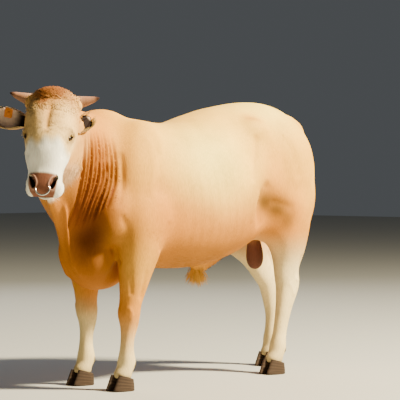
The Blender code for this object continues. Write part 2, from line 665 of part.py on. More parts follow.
def tail_switch():
    """The tail's brush: tapered locks that start together round its end, fused."""
    generator = random.Random(4)
    x, y = TAIL[-1][:2]
    bm = bmesh.new()
    add_loft(bm, [(x, y, TAIL_CUT + height, *[radius] * 3) for height, radius in SWITCH_CORE], ring=16)
    for i in range(SWITCH_LOCKS):
        turn = 2 * math.pi * i / SWITCH_LOCKS + generator.uniform(-0.2, 0.2)
        end = generator.uniform(*SWITCH_ENDS)
        rows = []
        for t, spread, thick in SWITCH_LOCK:
            swirl = turn + 0.6 * t
            height = SWITCH_TOP + (end - SWITCH_TOP) * t
            place = (x + spread * math.cos(swirl), y + spread * math.sin(swirl), height)
            rows.append((*place, thick, thick, thick))
        add_loft(bm, rows, ring=12, steps=3)
    switch = new_object("tail_switch", finished(bm, "tail_switch"))
    fuse = switch.modifiers.new("fuse", "REMESH")
    fuse.mode = "VOXEL"
    fuse.voxel_size = SWITCH_VOXEL
    smooth = switch.modifiers.new("smooth", "SMOOTH")
    smooth.iterations = 3
    apply_modifiers(switch)
    keep_largest(switch)
    reduce_to(switch, SWITCH_TRIANGLES)
    boolean(switch, slab((x, y, TAIL_CUT + 0.1 - GAP), (0, 0, 1), (0.1, 0.1), 0.2))
    keep_largest(switch)
    return switch


def box(centre, sizes, matrix):
    bm = bmesh.new()
    place = matrix @ Matrix.LocRotScale(Vector(centre), None, Vector(sizes))
    bmesh.ops.create_cube(bm, size=1, matrix=place)
    return new_object("box", finished(bm, "box"))


def ear_tag(side):
    """A plain plate inside the ear, its pin through the ear and the button that holds it behind."""
    place = ear_matrix(side)
    tag = box(TAG_PLACE, TAG_SIZE, place)
    x, y, z = TAG_PLACE
    for radius, start, end in TAG_PEGS:
        bm = bmesh.new()
        turn = Matrix.Rotation(math.pi / 2, 4, "X")
        peg = place @ Matrix.Translation((x, y + (start + end) / 2, z)) @ turn
        bmesh.ops.create_cone(bm, cap_ends=True, segments=16, radius1=radius, radius2=radius,
                              depth=end - start, matrix=peg)
        boolean(tag, new_object("peg", finished(bm, "peg")), "UNION")
    tag.name = "ear_tag"
    return tag


def coronet(y, ahead=0.052):
    """The height of a claw's top, this far behind the middle of the foot."""
    return CORONET_FRONT - CORONET_SLOPE * (y + ahead)


def foot_place(end, side):
    """The middle of a foot on the floor."""
    return Vector((*next(rows for at, on, rows in legs() if (at, on) == (end, side))[-1][:2], 0))


def claw(end, side, inner, ring=20):
    """Half of a cloven hoof: a wall that leans forward from the coronet to a flat sole."""
    place = foot_place(end, side)
    toward = inner * side
    angle = np.linspace(0, 2 * math.pi, ring, endpoint=False)
    wide, long = np.cos(angle), np.sin(angle)
    bm = bmesh.new()
    rings = []
    for level, spread, ahead, back in CLAW_WALL:
        x = CLAW_HALF_WIDTH * spread * np.sign(wide) * np.abs(wide) ** 0.8
        x = np.where(wide * toward > 0, x * CLAW_INNER, x)
        y = np.where(long < 0, ahead, back) * np.sign(long) * np.abs(long) ** 0.9
        toe = np.clip(-y / ahead, 0, 1) ** 2
        x = x * (1 - CLAW_POINT * toe) - toward * (CLAW_SPACING - CLAW_TURN * toe)
        z = level * (coronet(y) - GAP)
        rings.append([bm.verts.new(place + Vector(point)) for point in zip(x, y, z)])
    bm.faces.new(rings[0])
    bm.faces.new(rings[-1])
    for first, second in zip(rings, rings[1:]):
        for i in range(ring):
            j = (i + 1) % ring
            bm.faces.new((first[i], first[j], second[j], second[i]))
    bmesh.ops.recalc_face_normals(bm, faces=bm.faces)
    return new_object("claw", finished(bm, "claw"))


def trim_below_coronet(body):
    """Ends each leg on the sloping plane on which its claws meet it."""
    for end in ("front", "hind"):
        for side in SIDES.values():
            place = foot_place(end, side)
            normal = Vector((0, CORONET_SLOPE, 1)).normalized()
            centre = place + Vector((0, 0, coronet(0))) - normal * 0.1
            boolean(body, slab(centre, normal, (0.1, 0.14), 0.2))


def face_details(head):
    """Opens the lids, the nostrils and the line of the mouth in the head."""
    place = head_matrix()
    turn = place.to_3x3()
    for side in SIDES.values():
        centre = place @ mirrored(EYE, side)
        look = (turn @ mirrored(EYE_LOOKS, side)).normalized()
        boolean(head, bevel_ball(EYE_RADIUS + LID, centre, 16, 9), "UNION")
        boolean(head, bevel_ball(EYE_RADIUS + GAP, centre, 16, 10))
        slit = turn @ mirrored(SLIT_ALONG, side)
        slit = (slit - look * look.dot(slit)).normalized()
        axes = Matrix((slit, look.cross(slit), look)).transposed()
        opening = bevel_ball(1, centre + look * EYE_RADIUS, 14, 8, SLIT, axes.to_quaternion())
        boolean(head, opening)
        for x, y, sizes, roll in NOSTRIL:
            top = place @ Vector((side * x, y, 0.1))
            spot = surface_point(head, top, -(turn @ Vector((0, 0, 1))))
            lean = (turn @ Matrix.Rotation(side * math.radians(roll), 3, "Z")).to_quaternion()
            boolean(head, bevel_ball(1, spot, 12, 8, sizes, lean))


def surface_point(obj, origin, direction):
    """Where a line first meets the object."""
    tree = BVHTree.FromObject(obj, bpy.context.evaluated_depsgraph_get())
    return tree.ray_cast(origin, direction)[0]


def mouth_line(head):
    """A groove round the muzzle where the lips meet."""
    place = head_matrix()
    rows = []
    for degrees in np.linspace(-MOUTH_REACH, MOUTH_REACH, 21):
        angle = math.radians(degrees)
        origin = place @ (MOUTH_MIDDLE - Vector((0, 0, MOUTH_DROP * (1 - math.cos(angle)))))
        out = place.to_3x3() @ Vector((math.sin(angle), -math.cos(angle), 0))
        point = place.inverted() @ surface_point(head, origin + out * 0.3, -out)
        radius = MOUTH_DEPTH if abs(degrees) < MOUTH_REACH - 10 else MOUTH_DEPTH * 0.6
        rows.append((*point, radius, radius, radius))
    bm = bmesh.new()
    add_loft(bm, rows, across=(0, 0, 1), ring=5, steps=1, matrix=place)
    boolean(head, new_object("mouth", finished(bm, "mouth")))


def material(name, color, roughness, metallic=0.0):
    made = bpy.data.materials.new(name)
    made.use_nodes = True
    shader = made.node_tree.nodes["Principled BSDF"]
    linear = [((int(color[i:i + 2], 16) / 255 + 0.055) / 1.055) ** 2.4 for i in (1, 3, 5)]
    shader.inputs["Base Color"].default_value = (*linear, 1)
    shader.inputs["Roughness"].default_value = roughness
    shader.inputs["Metallic"].default_value = metallic
    return made


# What each kind of node is made of: colour, roughness and whether it is metal.
FINISHES = {
    "tag": ("#e07a1c", 0.5, 0),
    "head": ("#ead3a6", 0.8, 0), "neck": ("#d99a58", 0.8, 0), "forequarters": ("#e0a868", 0.8, 0),
    "barrel": ("#eccb93", 0.8, 0), "hindquarters": ("#ecd3a0", 0.8, 0), "upper": ("#e0b27c", 0.8, 0),
    "lower": ("#ecdcba", 0.8, 0), "claw": ("#4c4034", 0.45, 0), "tail": ("#d8b07a", 0.8, 0),
    "scrotum": ("#8d6a5c", 0.7, 0), "ear": ("#c79a66", 0.8, 0), "eye": ("#1c120d", 0.15, 0),
    "horn": ("#c9a98c", 0.5, 0), "nose": ("#b9b4a6", 0.3, 1),
}


def main():
    for obj in list(bpy.data.objects):
        bpy.data.objects.remove(obj)
    body = build_flesh()
    trim_below_coronet(body)
    nodes = []

    def cut(name, centre, normal, reach):
        nodes.append(part_off(body, name, centre, normal, reach))
        return nodes[-1]

    head, neck = (cut(name, *CUTS[name]) for name in ("head", "neck"))
    for name, side in SIDES.items():
        for end, heights in LEG_CUTS.items():
            for part, z in zip(("lower", "upper"), heights):
                around, half = section(body, z, *leg_middle(end, side, z))
                cut(f"{end}_{name}_{part}", (*around, z), (0, 0, -1), half + CUT_MARGIN)
    around, half = section(body, SCROTUM_CUT, 0, SCROTUM[2][1])
    cut("scrotum", (*around, SCROTUM_CUT), (0, 0, -1), half + CUT_MARGIN)
    boolean(body, slab((*TAIL[-1][:2], TAIL_CUT - 0.1), (0, 0, 1), (0.06, 0.06), 0.2))
    nodes.append(tail_switch())
    for name in ("tail", "forequarters", "hindquarters"):
        cut(name, *CUTS[name])
    body.name = "barrel"
    nodes.append(body)
    face_details(head)
    mouth_line(head)
    place = head_matrix()
    turn = place.to_3x3()
    for name, side in SIDES.items():
        eye = bevel_ball(EYE_RADIUS, place @ mirrored(EYE, side), 16, 10)
        eye.name = f"eye_{name}"
        horn_made = horn(side)
        horn_made.name = f"horn_{name}"
        ear_made = ear(side)
        ear_made.name = f"ear_{name}"
        boolean(head, inflated(horn_made, GAP))
        for flesh in (head, neck):
            boolean(ear_made, inflated(flesh, 4 * GAP))
        keep_largest(ear_made)
        nodes.extend((eye, horn_made, ear_made))
        for end in ("front", "hind"):
            for half, inner in (("inner", 1), ("outer", -1)):
                piece = claw(end, side, inner)
                piece.name = f"claw_{end}_{name}_{half}"
                nodes.append(piece)
    tag = ear_tag(-1)
    boolean(next(node for node in nodes if node.name == "ear_right"), inflated(tag, GAP))
    nodes.append(tag)
    forward = Vector((math.sin(HEAD_YAW), -math.cos(HEAD_YAW), 0))
    down = (forward * RING_TILT + Vector((0, 0, -1))).normalized()
    across = turn @ Vector((1, 0, 0))
    centre = place @ RING_TOP + down * RING_RADIUS
    ring = torus(centre, across, down, RING_RADIUS, RING_THICKNESS)
    boolean(head, torus(centre, across, down, RING_RADIUS, RING_THICKNESS + GAP))
    keep_largest(head)
    ring.name = "nose_ring"
    nodes.append(ring)
    low = np.min([coordinates(node.data).min(axis=0) for node in nodes], axis=0)
    high = np.max([coordinates(node.data).max(axis=0) for node in nodes], axis=0)
    shift = -np.array([(low[0] + high[0]) / 2, (low[1] + high[1]) / 2, low[2]])
    collection = bpy.data.collections.new("beef_bull")
    bpy.context.scene.collection.children.link(collection)
    materials = {}
    for node in nodes:
        node.data.transform(Matrix.Translation(shift))
        kind = next(key for key in FINISHES if key in node.name)
        if node.name not in materials:
            materials[node.name] = material(node.name, *FINISHES[kind])
        node.data.materials.clear()
        node.data.materials.append(materials[node.name])
        bpy.context.scene.collection.objects.unlink(node)
        collection.objects.link(node)


main()
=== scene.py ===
# %% [markdown]
# # A fawn beef bull, standing with its head turned to the viewer
# The imported solids give the animal's true size and stance. This script dresses them: one skin with its
# folds over all the flesh, a short coat with tufts and curls, and separate eyes, horns, claws, ears, nose
# ring and ear tag. The solids are loaded first.

# %% Load the solids
import math

import bmesh
import bpy
import numpy as np
from mathutils import Euler, Matrix, Vector
from mathutils.bvhtree import BVHTree


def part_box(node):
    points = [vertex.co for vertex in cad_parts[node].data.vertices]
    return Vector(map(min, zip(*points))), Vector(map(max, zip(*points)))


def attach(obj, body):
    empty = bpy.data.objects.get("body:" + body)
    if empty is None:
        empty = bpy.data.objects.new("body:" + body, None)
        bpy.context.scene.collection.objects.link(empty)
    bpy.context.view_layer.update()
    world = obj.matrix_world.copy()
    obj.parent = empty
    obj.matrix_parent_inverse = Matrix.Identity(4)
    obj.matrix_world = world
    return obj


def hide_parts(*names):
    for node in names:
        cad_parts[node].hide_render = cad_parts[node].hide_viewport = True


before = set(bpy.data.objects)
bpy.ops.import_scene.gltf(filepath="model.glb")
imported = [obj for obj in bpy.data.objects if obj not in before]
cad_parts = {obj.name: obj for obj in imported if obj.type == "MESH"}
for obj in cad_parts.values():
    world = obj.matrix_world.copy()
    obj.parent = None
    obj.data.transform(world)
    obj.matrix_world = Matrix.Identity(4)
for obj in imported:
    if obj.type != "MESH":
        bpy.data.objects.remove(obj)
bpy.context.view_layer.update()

# %% [markdown]
# ## The head's own frame
# The head is turned and tipped, so its forms are easier to think of in a frame of its own: the poll is
# its origin, -Y runs down the face to the muzzle, +Z stands off the forehead and +X is the animal's left.
# The solids were centred on the floor when they were made, so the shift is read back from where the left
# eye lies.

# %% Frames
POLL = Vector((0.1285, -0.984, 1.465))
HEAD_YAW, HEAD_PITCH, HEAD_ROLL = math.radians(38), math.radians(59), math.radians(3.5)
EYE = np.array((0.0925, -0.208, -0.030))
SIDES = {"left": 1, "right": -1}


def head_place():
    """Rolled, then pitched down, then turned to the left, and stood on the poll."""
    turn = Matrix.Rotation(HEAD_YAW, 4, "Z") @ Matrix.Rotation(HEAD_ROLL, 4, "Y")
    return Matrix.Translation(POLL) @ turn @ Matrix.Rotation(HEAD_PITCH, 4, "X")


HEAD = np.array(head_place())
eye_low, eye_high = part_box("eye_left")
SHIFT = np.array((eye_low + eye_high) / 2) - (HEAD[:3, :3] @ EYE + HEAD[:3, 3])
HEAD[:3, 3] += SHIFT
print("the solids were moved by", SHIFT.round(4))


def from_head(points):
    """Points of the head's frame, in the body's."""
    return np.asarray(points) @ HEAD[:3, :3].T + HEAD[:3, 3]


def to_head(points):
    """Points of the body's frame, in the head's."""
    return (np.asarray(points) - HEAD[:3, 3]) @ HEAD[:3, :3]


# %% [markdown]
# ## Profiles carried along a path
# Most forms of an animal are ovals carried along a line: a trunk, a neck, a leg, a horn. Each row of a
# table gives a point of that line and the oval's half sizes there, and a smooth curve runs through the
# rows.

# %% Carried ovals and ellipsoids
def smooth_rows(rows, steps):
    """A Catmull-Rom curve through the rows, with this many steps from each to the next."""
    rows = np.array(rows, float)
    padded = np.vstack([2 * rows[0] - rows[1], rows, 2 * rows[-1] - rows[-2]])
    t = np.linspace(0, 1, steps, endpoint=False)[:, None, None]
    a, b, c, d = padded[:-3], padded[1:-2], padded[2:-1], padded[3:]
    curve = b + 0.5 * t * (c - a + t * (2 * a - 5 * b + 4 * c - d + t * (3 * (b - c) + d - a)))
    curve = curve.transpose(1, 0, 2).reshape(-1, rows.shape[1])
    return np.vstack([curve, rows[-1]])


def grid_faces(rows, columns, closed=True):
    """Quads of a grid of points, wrapped round its columns if closed."""
    i, j = np.meshgrid(np.arange(rows - 1), np.arange(columns if closed else columns - 1), indexing="ij")
    k = (j + 1) % columns
    first, second = i * columns, (i + 1) * columns
    quads = np.stack([first + j, first + k, second + k, second + j], axis=-1)
    return quads.reshape(-1, 4)


def carried_oval(rows, across=(1, 0, 0), square=2.0, ring=48, steps=8):
    """Point at t and angle a: line(t) + across * width(t) * c(a) + upward * height(t) * s(a), where c
    and s are the cosine and sine to the power 2 / square. Both ends close on a point of the line."""
    curve = smooth_rows(rows, steps)
    path = curve[:, :3]
    half_width, above, below = np.maximum(curve[:, 3:6], 0.001).T
    tangent = np.gradient(path, axis=0)
    tangent /= np.linalg.norm(tangent, axis=1)[:, None]
    across = np.array(across, float) - (tangent @ np.array(across, float))[:, None] * tangent
    across /= np.linalg.norm(across, axis=1)[:, None]
    upward = np.cross(across, tangent)
    angle = np.linspace(0, 2 * math.pi, ring, endpoint=False)
    wide = np.sign(np.cos(angle)) * np.abs(np.cos(angle)) ** (2 / square)
    high = np.sign(np.sin(angle)) * np.abs(np.sin(angle)) ** (2 / square)
    height = np.where(high > 0, above[:, None], below[:, None]) * high
    points = path[:, None] + across[:, None] * (half_width[:, None] * wide)[..., None]
    points = points + upward[:, None] * height[..., None]
    return closed_tube(points)


def closed_tube(points):
    """Vertices and faces of rings of points, each end closed by a fan onto its middle."""
    count, ring = points.shape[:2]
    vertices = np.vstack([points.reshape(-1, 3), points[0].mean(axis=0), points[-1].mean(axis=0)])
    quads = grid_faces(count, ring)
    i = np.arange(ring)
    j = (i + 1) % ring
    start, end = count * ring, count * ring + 1
    caps = [np.stack([j, i, np.full(ring, start)], axis=-1),
            np.stack([(count - 1) * ring + i, (count - 1) * ring + j, np.full(ring, end)], axis=-1)]
    return vertices, [*quads.tolist(), *np.vstack(caps).tolist()]


def ellipsoid(centre, sizes, turn=(0, 0, 0), rings=24, ring=36):
    """Point at a and b: centre + turned (x sin a cos b, y sin a sin b, z cos a)."""
    a = np.linspace(0.02, math.pi - 0.02, rings)[:, None]
    b = np.linspace(0, 2 * math.pi, ring, endpoint=False)[None, :]
    ball = np.stack([np.sin(a) * np.cos(b), np.sin(a) * np.sin(b), np.cos(a) * np.ones_like(b)], axis=-1)
    rotation = np.array(Euler([math.radians(v) for v in turn]).to_matrix())
    return closed_tube(np.array(centre) + (ball * np.array(sizes)) @ rotation.T)


def new_piece(name, vertices, faces, smooth=True):
    """A mesh object at the origin, its place in its vertices, with its faces turned outwards."""
    mesh = bpy.data.meshes.new(name)
    mesh.from_pydata(np.asarray(vertices).tolist(), [], faces if isinstance(faces, list) else faces.tolist())
    mesh.update()
    if smooth:
        mesh.shade_smooth()
    obj = bpy.data.objects.new(name, mesh)
    bpy.context.scene.collection.objects.link(obj)
    return obj


def joined(parts):
    """Several (vertices, faces) as one."""
    vertices, faces, start = [], [], 0
    for points, found in parts:
        vertices.append(points)
        faces.extend([[index + start for index in face] for face in found])
        start += len(points)
    return np.vstack(vertices), faces


def coordinates(obj):
    """The place of each vertex."""
    points = np.empty(len(obj.data.vertices) * 3)
    obj.data.vertices.foreach_get("co", points)
    return points.reshape(-1, 3)


def move_to(obj, points):
    """Puts the vertices at these points."""
    obj.data.vertices.foreach_set("co", np.asarray(points, np.float32).ravel())
    obj.data.update()


def apply_modifiers(obj):
    """Bakes the object's modifiers into its mesh."""
    graph = bpy.context.evaluated_depsgraph_get()
    mesh = bpy.data.meshes.new_from_object(obj.evaluated_get(graph))
    obj.modifiers.clear()
    obj.data = mesh


# %% [markdown]
# ## The skin
# On the animal one hide covers everything from the poll to the claws. It could be sculpted by hand, but
# here the body is built as an anatomist would think of it: an oval trunk, neck and legs with the big
# muscles laid on as rounded masses, all fused by a voxel remesh and relaxed until they flow into one
# another. Every row below holds x, y, z of the line, the half width, and the half heights above and below
# it.

# %% Measures of the body
TRUNK = [
    (0, -0.74, 0.88, 0.050, 0.06, 0.08),
    (0, -0.70, 0.90, 0.130, 0.16, 0.19),
    (0, -0.61, 0.93, 0.205, 0.32, 0.29),
    (0, -0.50, 0.96, 0.255, 0.43, 0.35),
    (0, -0.36, 0.97, 0.290, 0.415, 0.365),
    (0, -0.16, 0.95, 0.330, 0.415, 0.350),
    (0, 0.06, 0.93, 0.350, 0.455, 0.335),
    (0, 0.26, 0.95, 0.345, 0.475, 0.315),
    (0, 0.44, 1.01, 0.325, 0.462, 0.295),
    (0, 0.62, 1.07, 0.305, 0.425, 0.300),
    (0, 0.78, 1.10, 0.270, 0.380, 0.290),
    (0, 0.90, 1.11, 0.205, 0.305, 0.250),
    (0, 0.98, 1.11, 0.110, 0.225, 0.160),
    (0, 1.01, 1.12, 0.040, 0.120, 0.080),
]
NECK = [
    (0, -0.26, 0.98, 0.20, 0.36, 0.33),
    (0, -0.44, 1.03, 0.225, 0.375, 0.350),
    (0.005, -0.60, 1.09, 0.200, 0.350, 0.320),
    (0.030, -0.74, 1.15, 0.178, 0.300, 0.280),
    (0.065, -0.86, 1.21, 0.155, 0.245, 0.235),
    (0.100, -0.97, 1.26, 0.130, 0.190, 0.190),
    (0.130, -1.06, 1.28, 0.095, 0.100, 0.110),
]
DEWLAP = [
    (0.140, -1.045, 1.065, 0.020, 0.06, 0.030),
    (0.105, -0.975, 0.985, 0.026, 0.08, 0.045),
    (0.060, -0.880, 0.900, 0.032, 0.10, 0.055),
    (0.020, -0.800, 0.815, 0.038, 0.12, 0.060),
    (0.0, -0.745, 0.725, 0.050, 0.13, 0.060),
    (0.0, -0.690, 0.640, 0.070, 0.13, 0.070),
    (0.0, -0.610, 0.580, 0.090, 0.12, 0.070),
    (0.0, -0.500, 0.570, 0.095, 0.10, 0.065),
    (0.0, -0.380, 0.610, 0.080, 0.08, 0.050),
]
FORELEG = [
    (0.030, 0.050, 0.92, 0.090, 0.150, 0.130),
    (0.034, 0.045, 0.80, 0.095, 0.150, 0.130),
    (0.030, 0.035, 0.70, 0.090, 0.132, 0.118),
    (0.020, 0.022, 0.60, 0.076, 0.104, 0.100),
    (0.010, 0.012, 0.50, 0.059, 0.076, 0.074),
    (0.004, 0.004, 0.435, 0.054, 0.060, 0.062),
    (0.000, 0.000, 0.385, 0.057, 0.057, 0.064),
    (0.000, -0.002, 0.330, 0.047, 0.051, 0.050),
    (0.000, -0.014, 0.265, 0.036, 0.042, 0.036),
    (0.000, -0.020, 0.200, 0.037, 0.043, 0.038),
    (0.000, -0.022, 0.150, 0.047, 0.052, 0.045),
    (0.000, -0.034, 0.108, 0.044, 0.044, 0.042),
    (0.000, -0.048, 0.074, 0.050, 0.046, 0.052),
    (0.000, -0.050, 0.058, 0.046, 0.042, 0.048),
]
HINDLEG = [
    (0.030, 0.000, 1.00, 0.120, 0.240, 0.230),
    (0.035, 0.020, 0.88, 0.120, 0.225, 0.220),
    (0.030, 0.060, 0.77, 0.095, 0.160, 0.175),
    (0.018, 0.080, 0.67, 0.074, 0.118, 0.128),
    (0.006, 0.082, 0.57, 0.056, 0.090, 0.096),
    (0.000, 0.092, 0.490, 0.052, 0.086, 0.080),
    (0.000, 0.085, 0.440, 0.051, 0.070, 0.070),
    (0.000, 0.068, 0.375, 0.044, 0.054, 0.056),
    (0.000, 0.045, 0.290, 0.038, 0.046, 0.046),
    (0.000, 0.025, 0.210, 0.038, 0.043, 0.042),
    (0.000, 0.012, 0.155, 0.047, 0.050, 0.046),
    (0.000, -0.002, 0.110, 0.044, 0.044, 0.044),
    (0.000, -0.018, 0.074, 0.050, 0.046, 0.052),
    (0.000, -0.020, 0.058, 0.046, 0.042, 0.048),
]
TAIL = [
    (0.000, 0.900, 1.385, 0.060, 0.055, 0.060),
    (0.000, 0.990, 1.375, 0.047, 0.042, 0.045),
    (0.000, 1.065, 1.325, 0.036, 0.034, 0.034),
    (-0.008, 1.100, 1.240, 0.030, 0.028, 0.028),
    (-0.024, 1.110, 1.120, 0.026, 0.025, 0.025),
    (-0.040, 1.108, 0.980, 0.023, 0.022, 0.022),
    (-0.052, 1.100, 0.850, 0.021, 0.020, 0.020),
    (-0.060, 1.092, 0.740, 0.020, 0.019, 0.019),
]
SCROTUM = [
    (0, 0.670, 0.860, 0.045, 0.045, 0.045),
    (0, 0.675, 0.790, 0.036, 0.038, 0.038),
    (0, 0.680, 0.730, 0.040, 0.042, 0.042),
    (0, 0.685, 0.680, 0.052, 0.052, 0.052),
    (0, 0.688, 0.625, 0.057, 0.056, 0.056),
    (0, 0.690, 0.580, 0.046, 0.046, 0.046),
    (0, 0.690, 0.556, 0.018, 0.020, 0.020),
]
SHEATH = [
    (0, 0.500, 0.740, 0.040, 0.050, 0.030),
    (0, 0.400, 0.680, 0.042, 0.050, 0.034),
    (0, 0.290, 0.628, 0.042, 0.050, 0.040),
    (0, 0.215, 0.594, 0.036, 0.046, 0.040),
    (0, 0.180, 0.566, 0.022, 0.030, 0.030),
]
SKULL = [
    (0, 0.045, -0.110, 0.060, 0.060, 0.080),
    (0, 0.015, -0.100, 0.110, 0.098, 0.120),
    (0, -0.035, -0.092, 0.130, 0.106, 0.135),
    (0, -0.095, -0.088, 0.136, 0.104, 0.145),
    (0, -0.155, -0.086, 0.132, 0.100, 0.150),
    (0, -0.215, -0.086, 0.122, 0.094, 0.150),
    (0, -0.270, -0.086, 0.110, 0.086, 0.142),
    (0.000, -0.325, -0.088, 0.096, 0.076, 0.118),
    (0.001, -0.380, -0.092, 0.086, 0.066, 0.092),
    (0.002, -0.430, -0.096, 0.086, 0.062, 0.078),
    (0.003, -0.468, -0.102, 0.080, 0.056, 0.066),
    (0.003, -0.490, -0.108, 0.056, 0.040, 0.044),
]
# Each mass: centre, half sizes, turn about X, Y and Z in degrees. Paired ones are given for the left side.
PAIRED_MUSCLES = [
    ((0.155, -0.440, 1.11), (0.140, 0.180, 0.270), (-14, 0, 0)),
    ((0.200, -0.420, 0.88), (0.125, 0.190, 0.190), (0, 0, 0)),
    ((0.148, 0.700, 1.12), (0.185, 0.245, 0.300), (8, 0, 0)),
    ((0.155, 0.765, 0.98), (0.150, 0.195, 0.270), (0, 0, 0)),
    ((0.165, 0.580, 0.96), (0.145, 0.215, 0.240), (0, 0, 0)),
    ((0.205, 0.420, 1.31), (0.085, 0.120, 0.090), (0, 20, 0)),
]
MIDDLE_MUSCLES = [
    ((0, -0.620, 0.700), (0.150, 0.140, 0.180), (0, 0, 0)),
    ((0, -0.520, 1.315), (0.110, 0.200, 0.115), (0, 0, 0)),
    ((0.155, -0.610, 0.91), (0.105, 0.110, 0.175), (-10, 0, 0)),
    ((-0.155, -0.520, 0.91), (0.105, 0.110, 0.175), (-10, 0, 0)),
]
PAIRED_FACE = [
    ((0.084, -0.190, -0.036), (0.044, 0.050, 0.036), (0, 0, -14)),
    ((0.070, -0.120, -0.028), (0.056, 0.080, 0.044), (0, 0, 0)),
    ((0.078, -0.160, -0.170), (0.045, 0.105, 0.080), (10, 0, 6)),
    ((0.090, -0.270, -0.080), (0.022, 0.085, 0.034), (0, 0, -8)),
    ((0.100, -0.010, -0.040), (0.046, 0.040, 0.040), (0, 0, 0)),
]
MIDDLE_FACE = [
    ((0.054, -0.446, -0.076), (0.038, 0.040, 0.036), (0, 0, 0)),
    ((-0.050, -0.446, -0.076), (0.038, 0.040, 0.036), (0, 0, 0)),
    ((0.060, -0.435, -0.124), (0.036, 0.052, 0.034), (0, 0, 0)),
    ((-0.056, -0.435, -0.124), (0.036, 0.052, 0.034), (0, 0, 0)),
    ((0.000, -0.008, -0.018), (0.106, 0.070, 0.072), (0, 0, 0)),
    ((0.002, -0.456, -0.074), (0.055, 0.040, 0.034), (0, 0, 0)),
    ((0.002, -0.424, -0.166), (0.052, 0.060, 0.032), (-14, 0, 0)),
]
# Half the distance between a pair of feet, their mean place, and how far behind it each of them stands.
STANCES = {"front": (0.180, -0.50, {1: 0.0, -1: 0.075}), "hind": (0.170, 0.67, {1: 0.0, -1: 0.37})}
STEP_HEIGHTS = [0, 0.29, 0.53, 0.75, 0.95]  # a step moves the whole foot, and less of the leg higher up
STEP_SHARES = [1, 0.88, 0.62, 0.26, 0]
DEWCLAW_PLACE, DEWCLAW_SIZES = (0.022, 0.064, 0.126), (0.016, 0.015, 0.021)  # placed from the foot


def leg_rows(end, side, rows):
    """Rows measured from a foot, in the body's frame: moved to that foot and leaning with its step."""
    stance, foot, step = STANCES[end]
    rows = np.array(rows, float)
    share = np.interp(rows[:, 2], STEP_HEIGHTS, STEP_SHARES)
    rows[:, 1] += foot + step[side] * share
    rows[:, 0] = side * (rows[:, 0] + stance)
    return rows


LEGS = {(end, name): leg_rows(end, side, rows)
        for end, rows in (("front", FORELEG), ("hind", HINDLEG)) for name, side in SIDES.items()}
DEWCLAWS = [(*(rows[-1][:2] + (side * DEWCLAW_PLACE[0], DEWCLAW_PLACE[1])), DEWCLAW_PLACE[2])
            for rows in LEGS.values() for side in SIDES.values()]


# %% [markdown]
# ## Fusing the skin
# A voxel remesh turns the overlapping masses into one closed surface. Relaxing it rounds the valleys
# between them, and it is relaxed more on the trunk, where the hide lies over fat, than on the head and
# legs, where bone lies close below. The skin then shrinks by the depth of the short coat.

# %% Fuse and relax
ROUGH_VOXEL = 0.0085  # metres, for the body while it is relaxed
VOXEL = 0.0045  # fine enough for the folds of the head
BODY_ROUNDS, TRUNK_ROUNDS, SKIN_ROUNDS, FINE_ROUNDS = 6, 40, 10, 3  # of relaxing
RELAX = 0.5  # how far each round moves a point toward the mean of its neighbours
COAT_DEPTH = 0.002


def paired(masses):
    """Each mass on the left, and its mirror image on the right."""
    for (x, y, z), sizes, (tx, ty, tz) in masses:
        yield (x, y, z), sizes, (tx, ty, tz)
        yield (-x, y, z), sizes, (tx, -ty, -tz)


def body_forms():
    """The masses of the trunk, neck and legs, still overlapping."""
    parts = [carried_oval(rows, square=square) for rows, square in (
        (TRUNK, 2.3), (NECK, 2.1), (DEWLAP, 2.0), (TAIL, 2.0), (SCROTUM, 2.0), (SHEATH, 2.0))]
    parts += [carried_oval(rows, square=2.2) for rows in LEGS.values()]
    parts += [ellipsoid(*mass) for mass in (*paired(PAIRED_MUSCLES), *MIDDLE_MUSCLES)]
    parts += [ellipsoid(place, DEWCLAW_SIZES, (-20, 0, 0)) for place in DEWCLAWS]
    return joined([(points + SHIFT, faces) for points, faces in parts])


def head_forms():
    """The masses of the head."""
    parts = [carried_oval(SKULL, square=2.5)]
    parts += [ellipsoid(*mass) for mass in (*paired(PAIRED_FACE), *MIDDLE_FACE)]
    return joined([(from_head(points), faces) for points, faces in parts])


def smoothstep(value, low, high):
    """0 below low, 1 above high and an easy slope between, for whole arrays. low may be the greater."""
    t = np.clip((value - low) / (high - low), 0, 1)
    return t * t * (3 - 2 * t)


def headness(points):
    """1 on the head, 0 behind the cut at the back of the jaw, and between the two near it."""
    ahead = (points - SHIFT - (0.080, -0.905, 1.20)) @ np.array((0.50, -0.80, 0.33))
    return smoothstep(ahead, -0.02, 0.03)


def neighbours(obj):
    """The two ends of every edge, for averaging over the mesh."""
    edges = np.empty(len(obj.data.edges) * 2, int)
    obj.data.edges.foreach_get("vertices", edges)
    return edges.reshape(-1, 2)


def relaxed(points, edges, rounds, amount):
    """Each round moves every point by amount (one number, or one per point) toward its neighbours' mean."""
    count = np.bincount(edges.ravel(), minlength=len(points))[:, None]
    amount = np.broadcast_to(np.asarray(amount, float).reshape(-1, 1), (len(points), 1))
    for _ in range(rounds):
        total = np.stack([np.bincount(edges[:, 0], points[edges[:, 1], k], len(points))
                          + np.bincount(edges[:, 1], points[edges[:, 0], k], len(points))
                          for k in range(3)], axis=-1)
        points = points + amount * (total / count - points)
    return points


def fused(name, parts, voxel):
    """One closed surface round closed, overlapping forms."""
    obj = new_piece(name, *joined(parts))
    fuse = obj.modifiers.new("fuse", "REMESH")
    fuse.mode = "VOXEL"
    fuse.voxel_size = voxel
    apply_modifiers(obj)
    return obj


def as_part(obj):
    """A mesh object's vertices and faces, with the object removed."""
    vertices = coordinates(obj)
    faces = [list(face.vertices) for face in obj.data.polygons]
    bpy.data.objects.remove(obj)
    return vertices, faces


def trunkness(points):
    """1 on the barrel, shoulders and thighs, which are relaxed most."""
    body = points - SHIFT
    return smoothstep(body[:, 2], 0.50, 0.60) * smoothstep(body[:, 1], 1.06, 1.01)


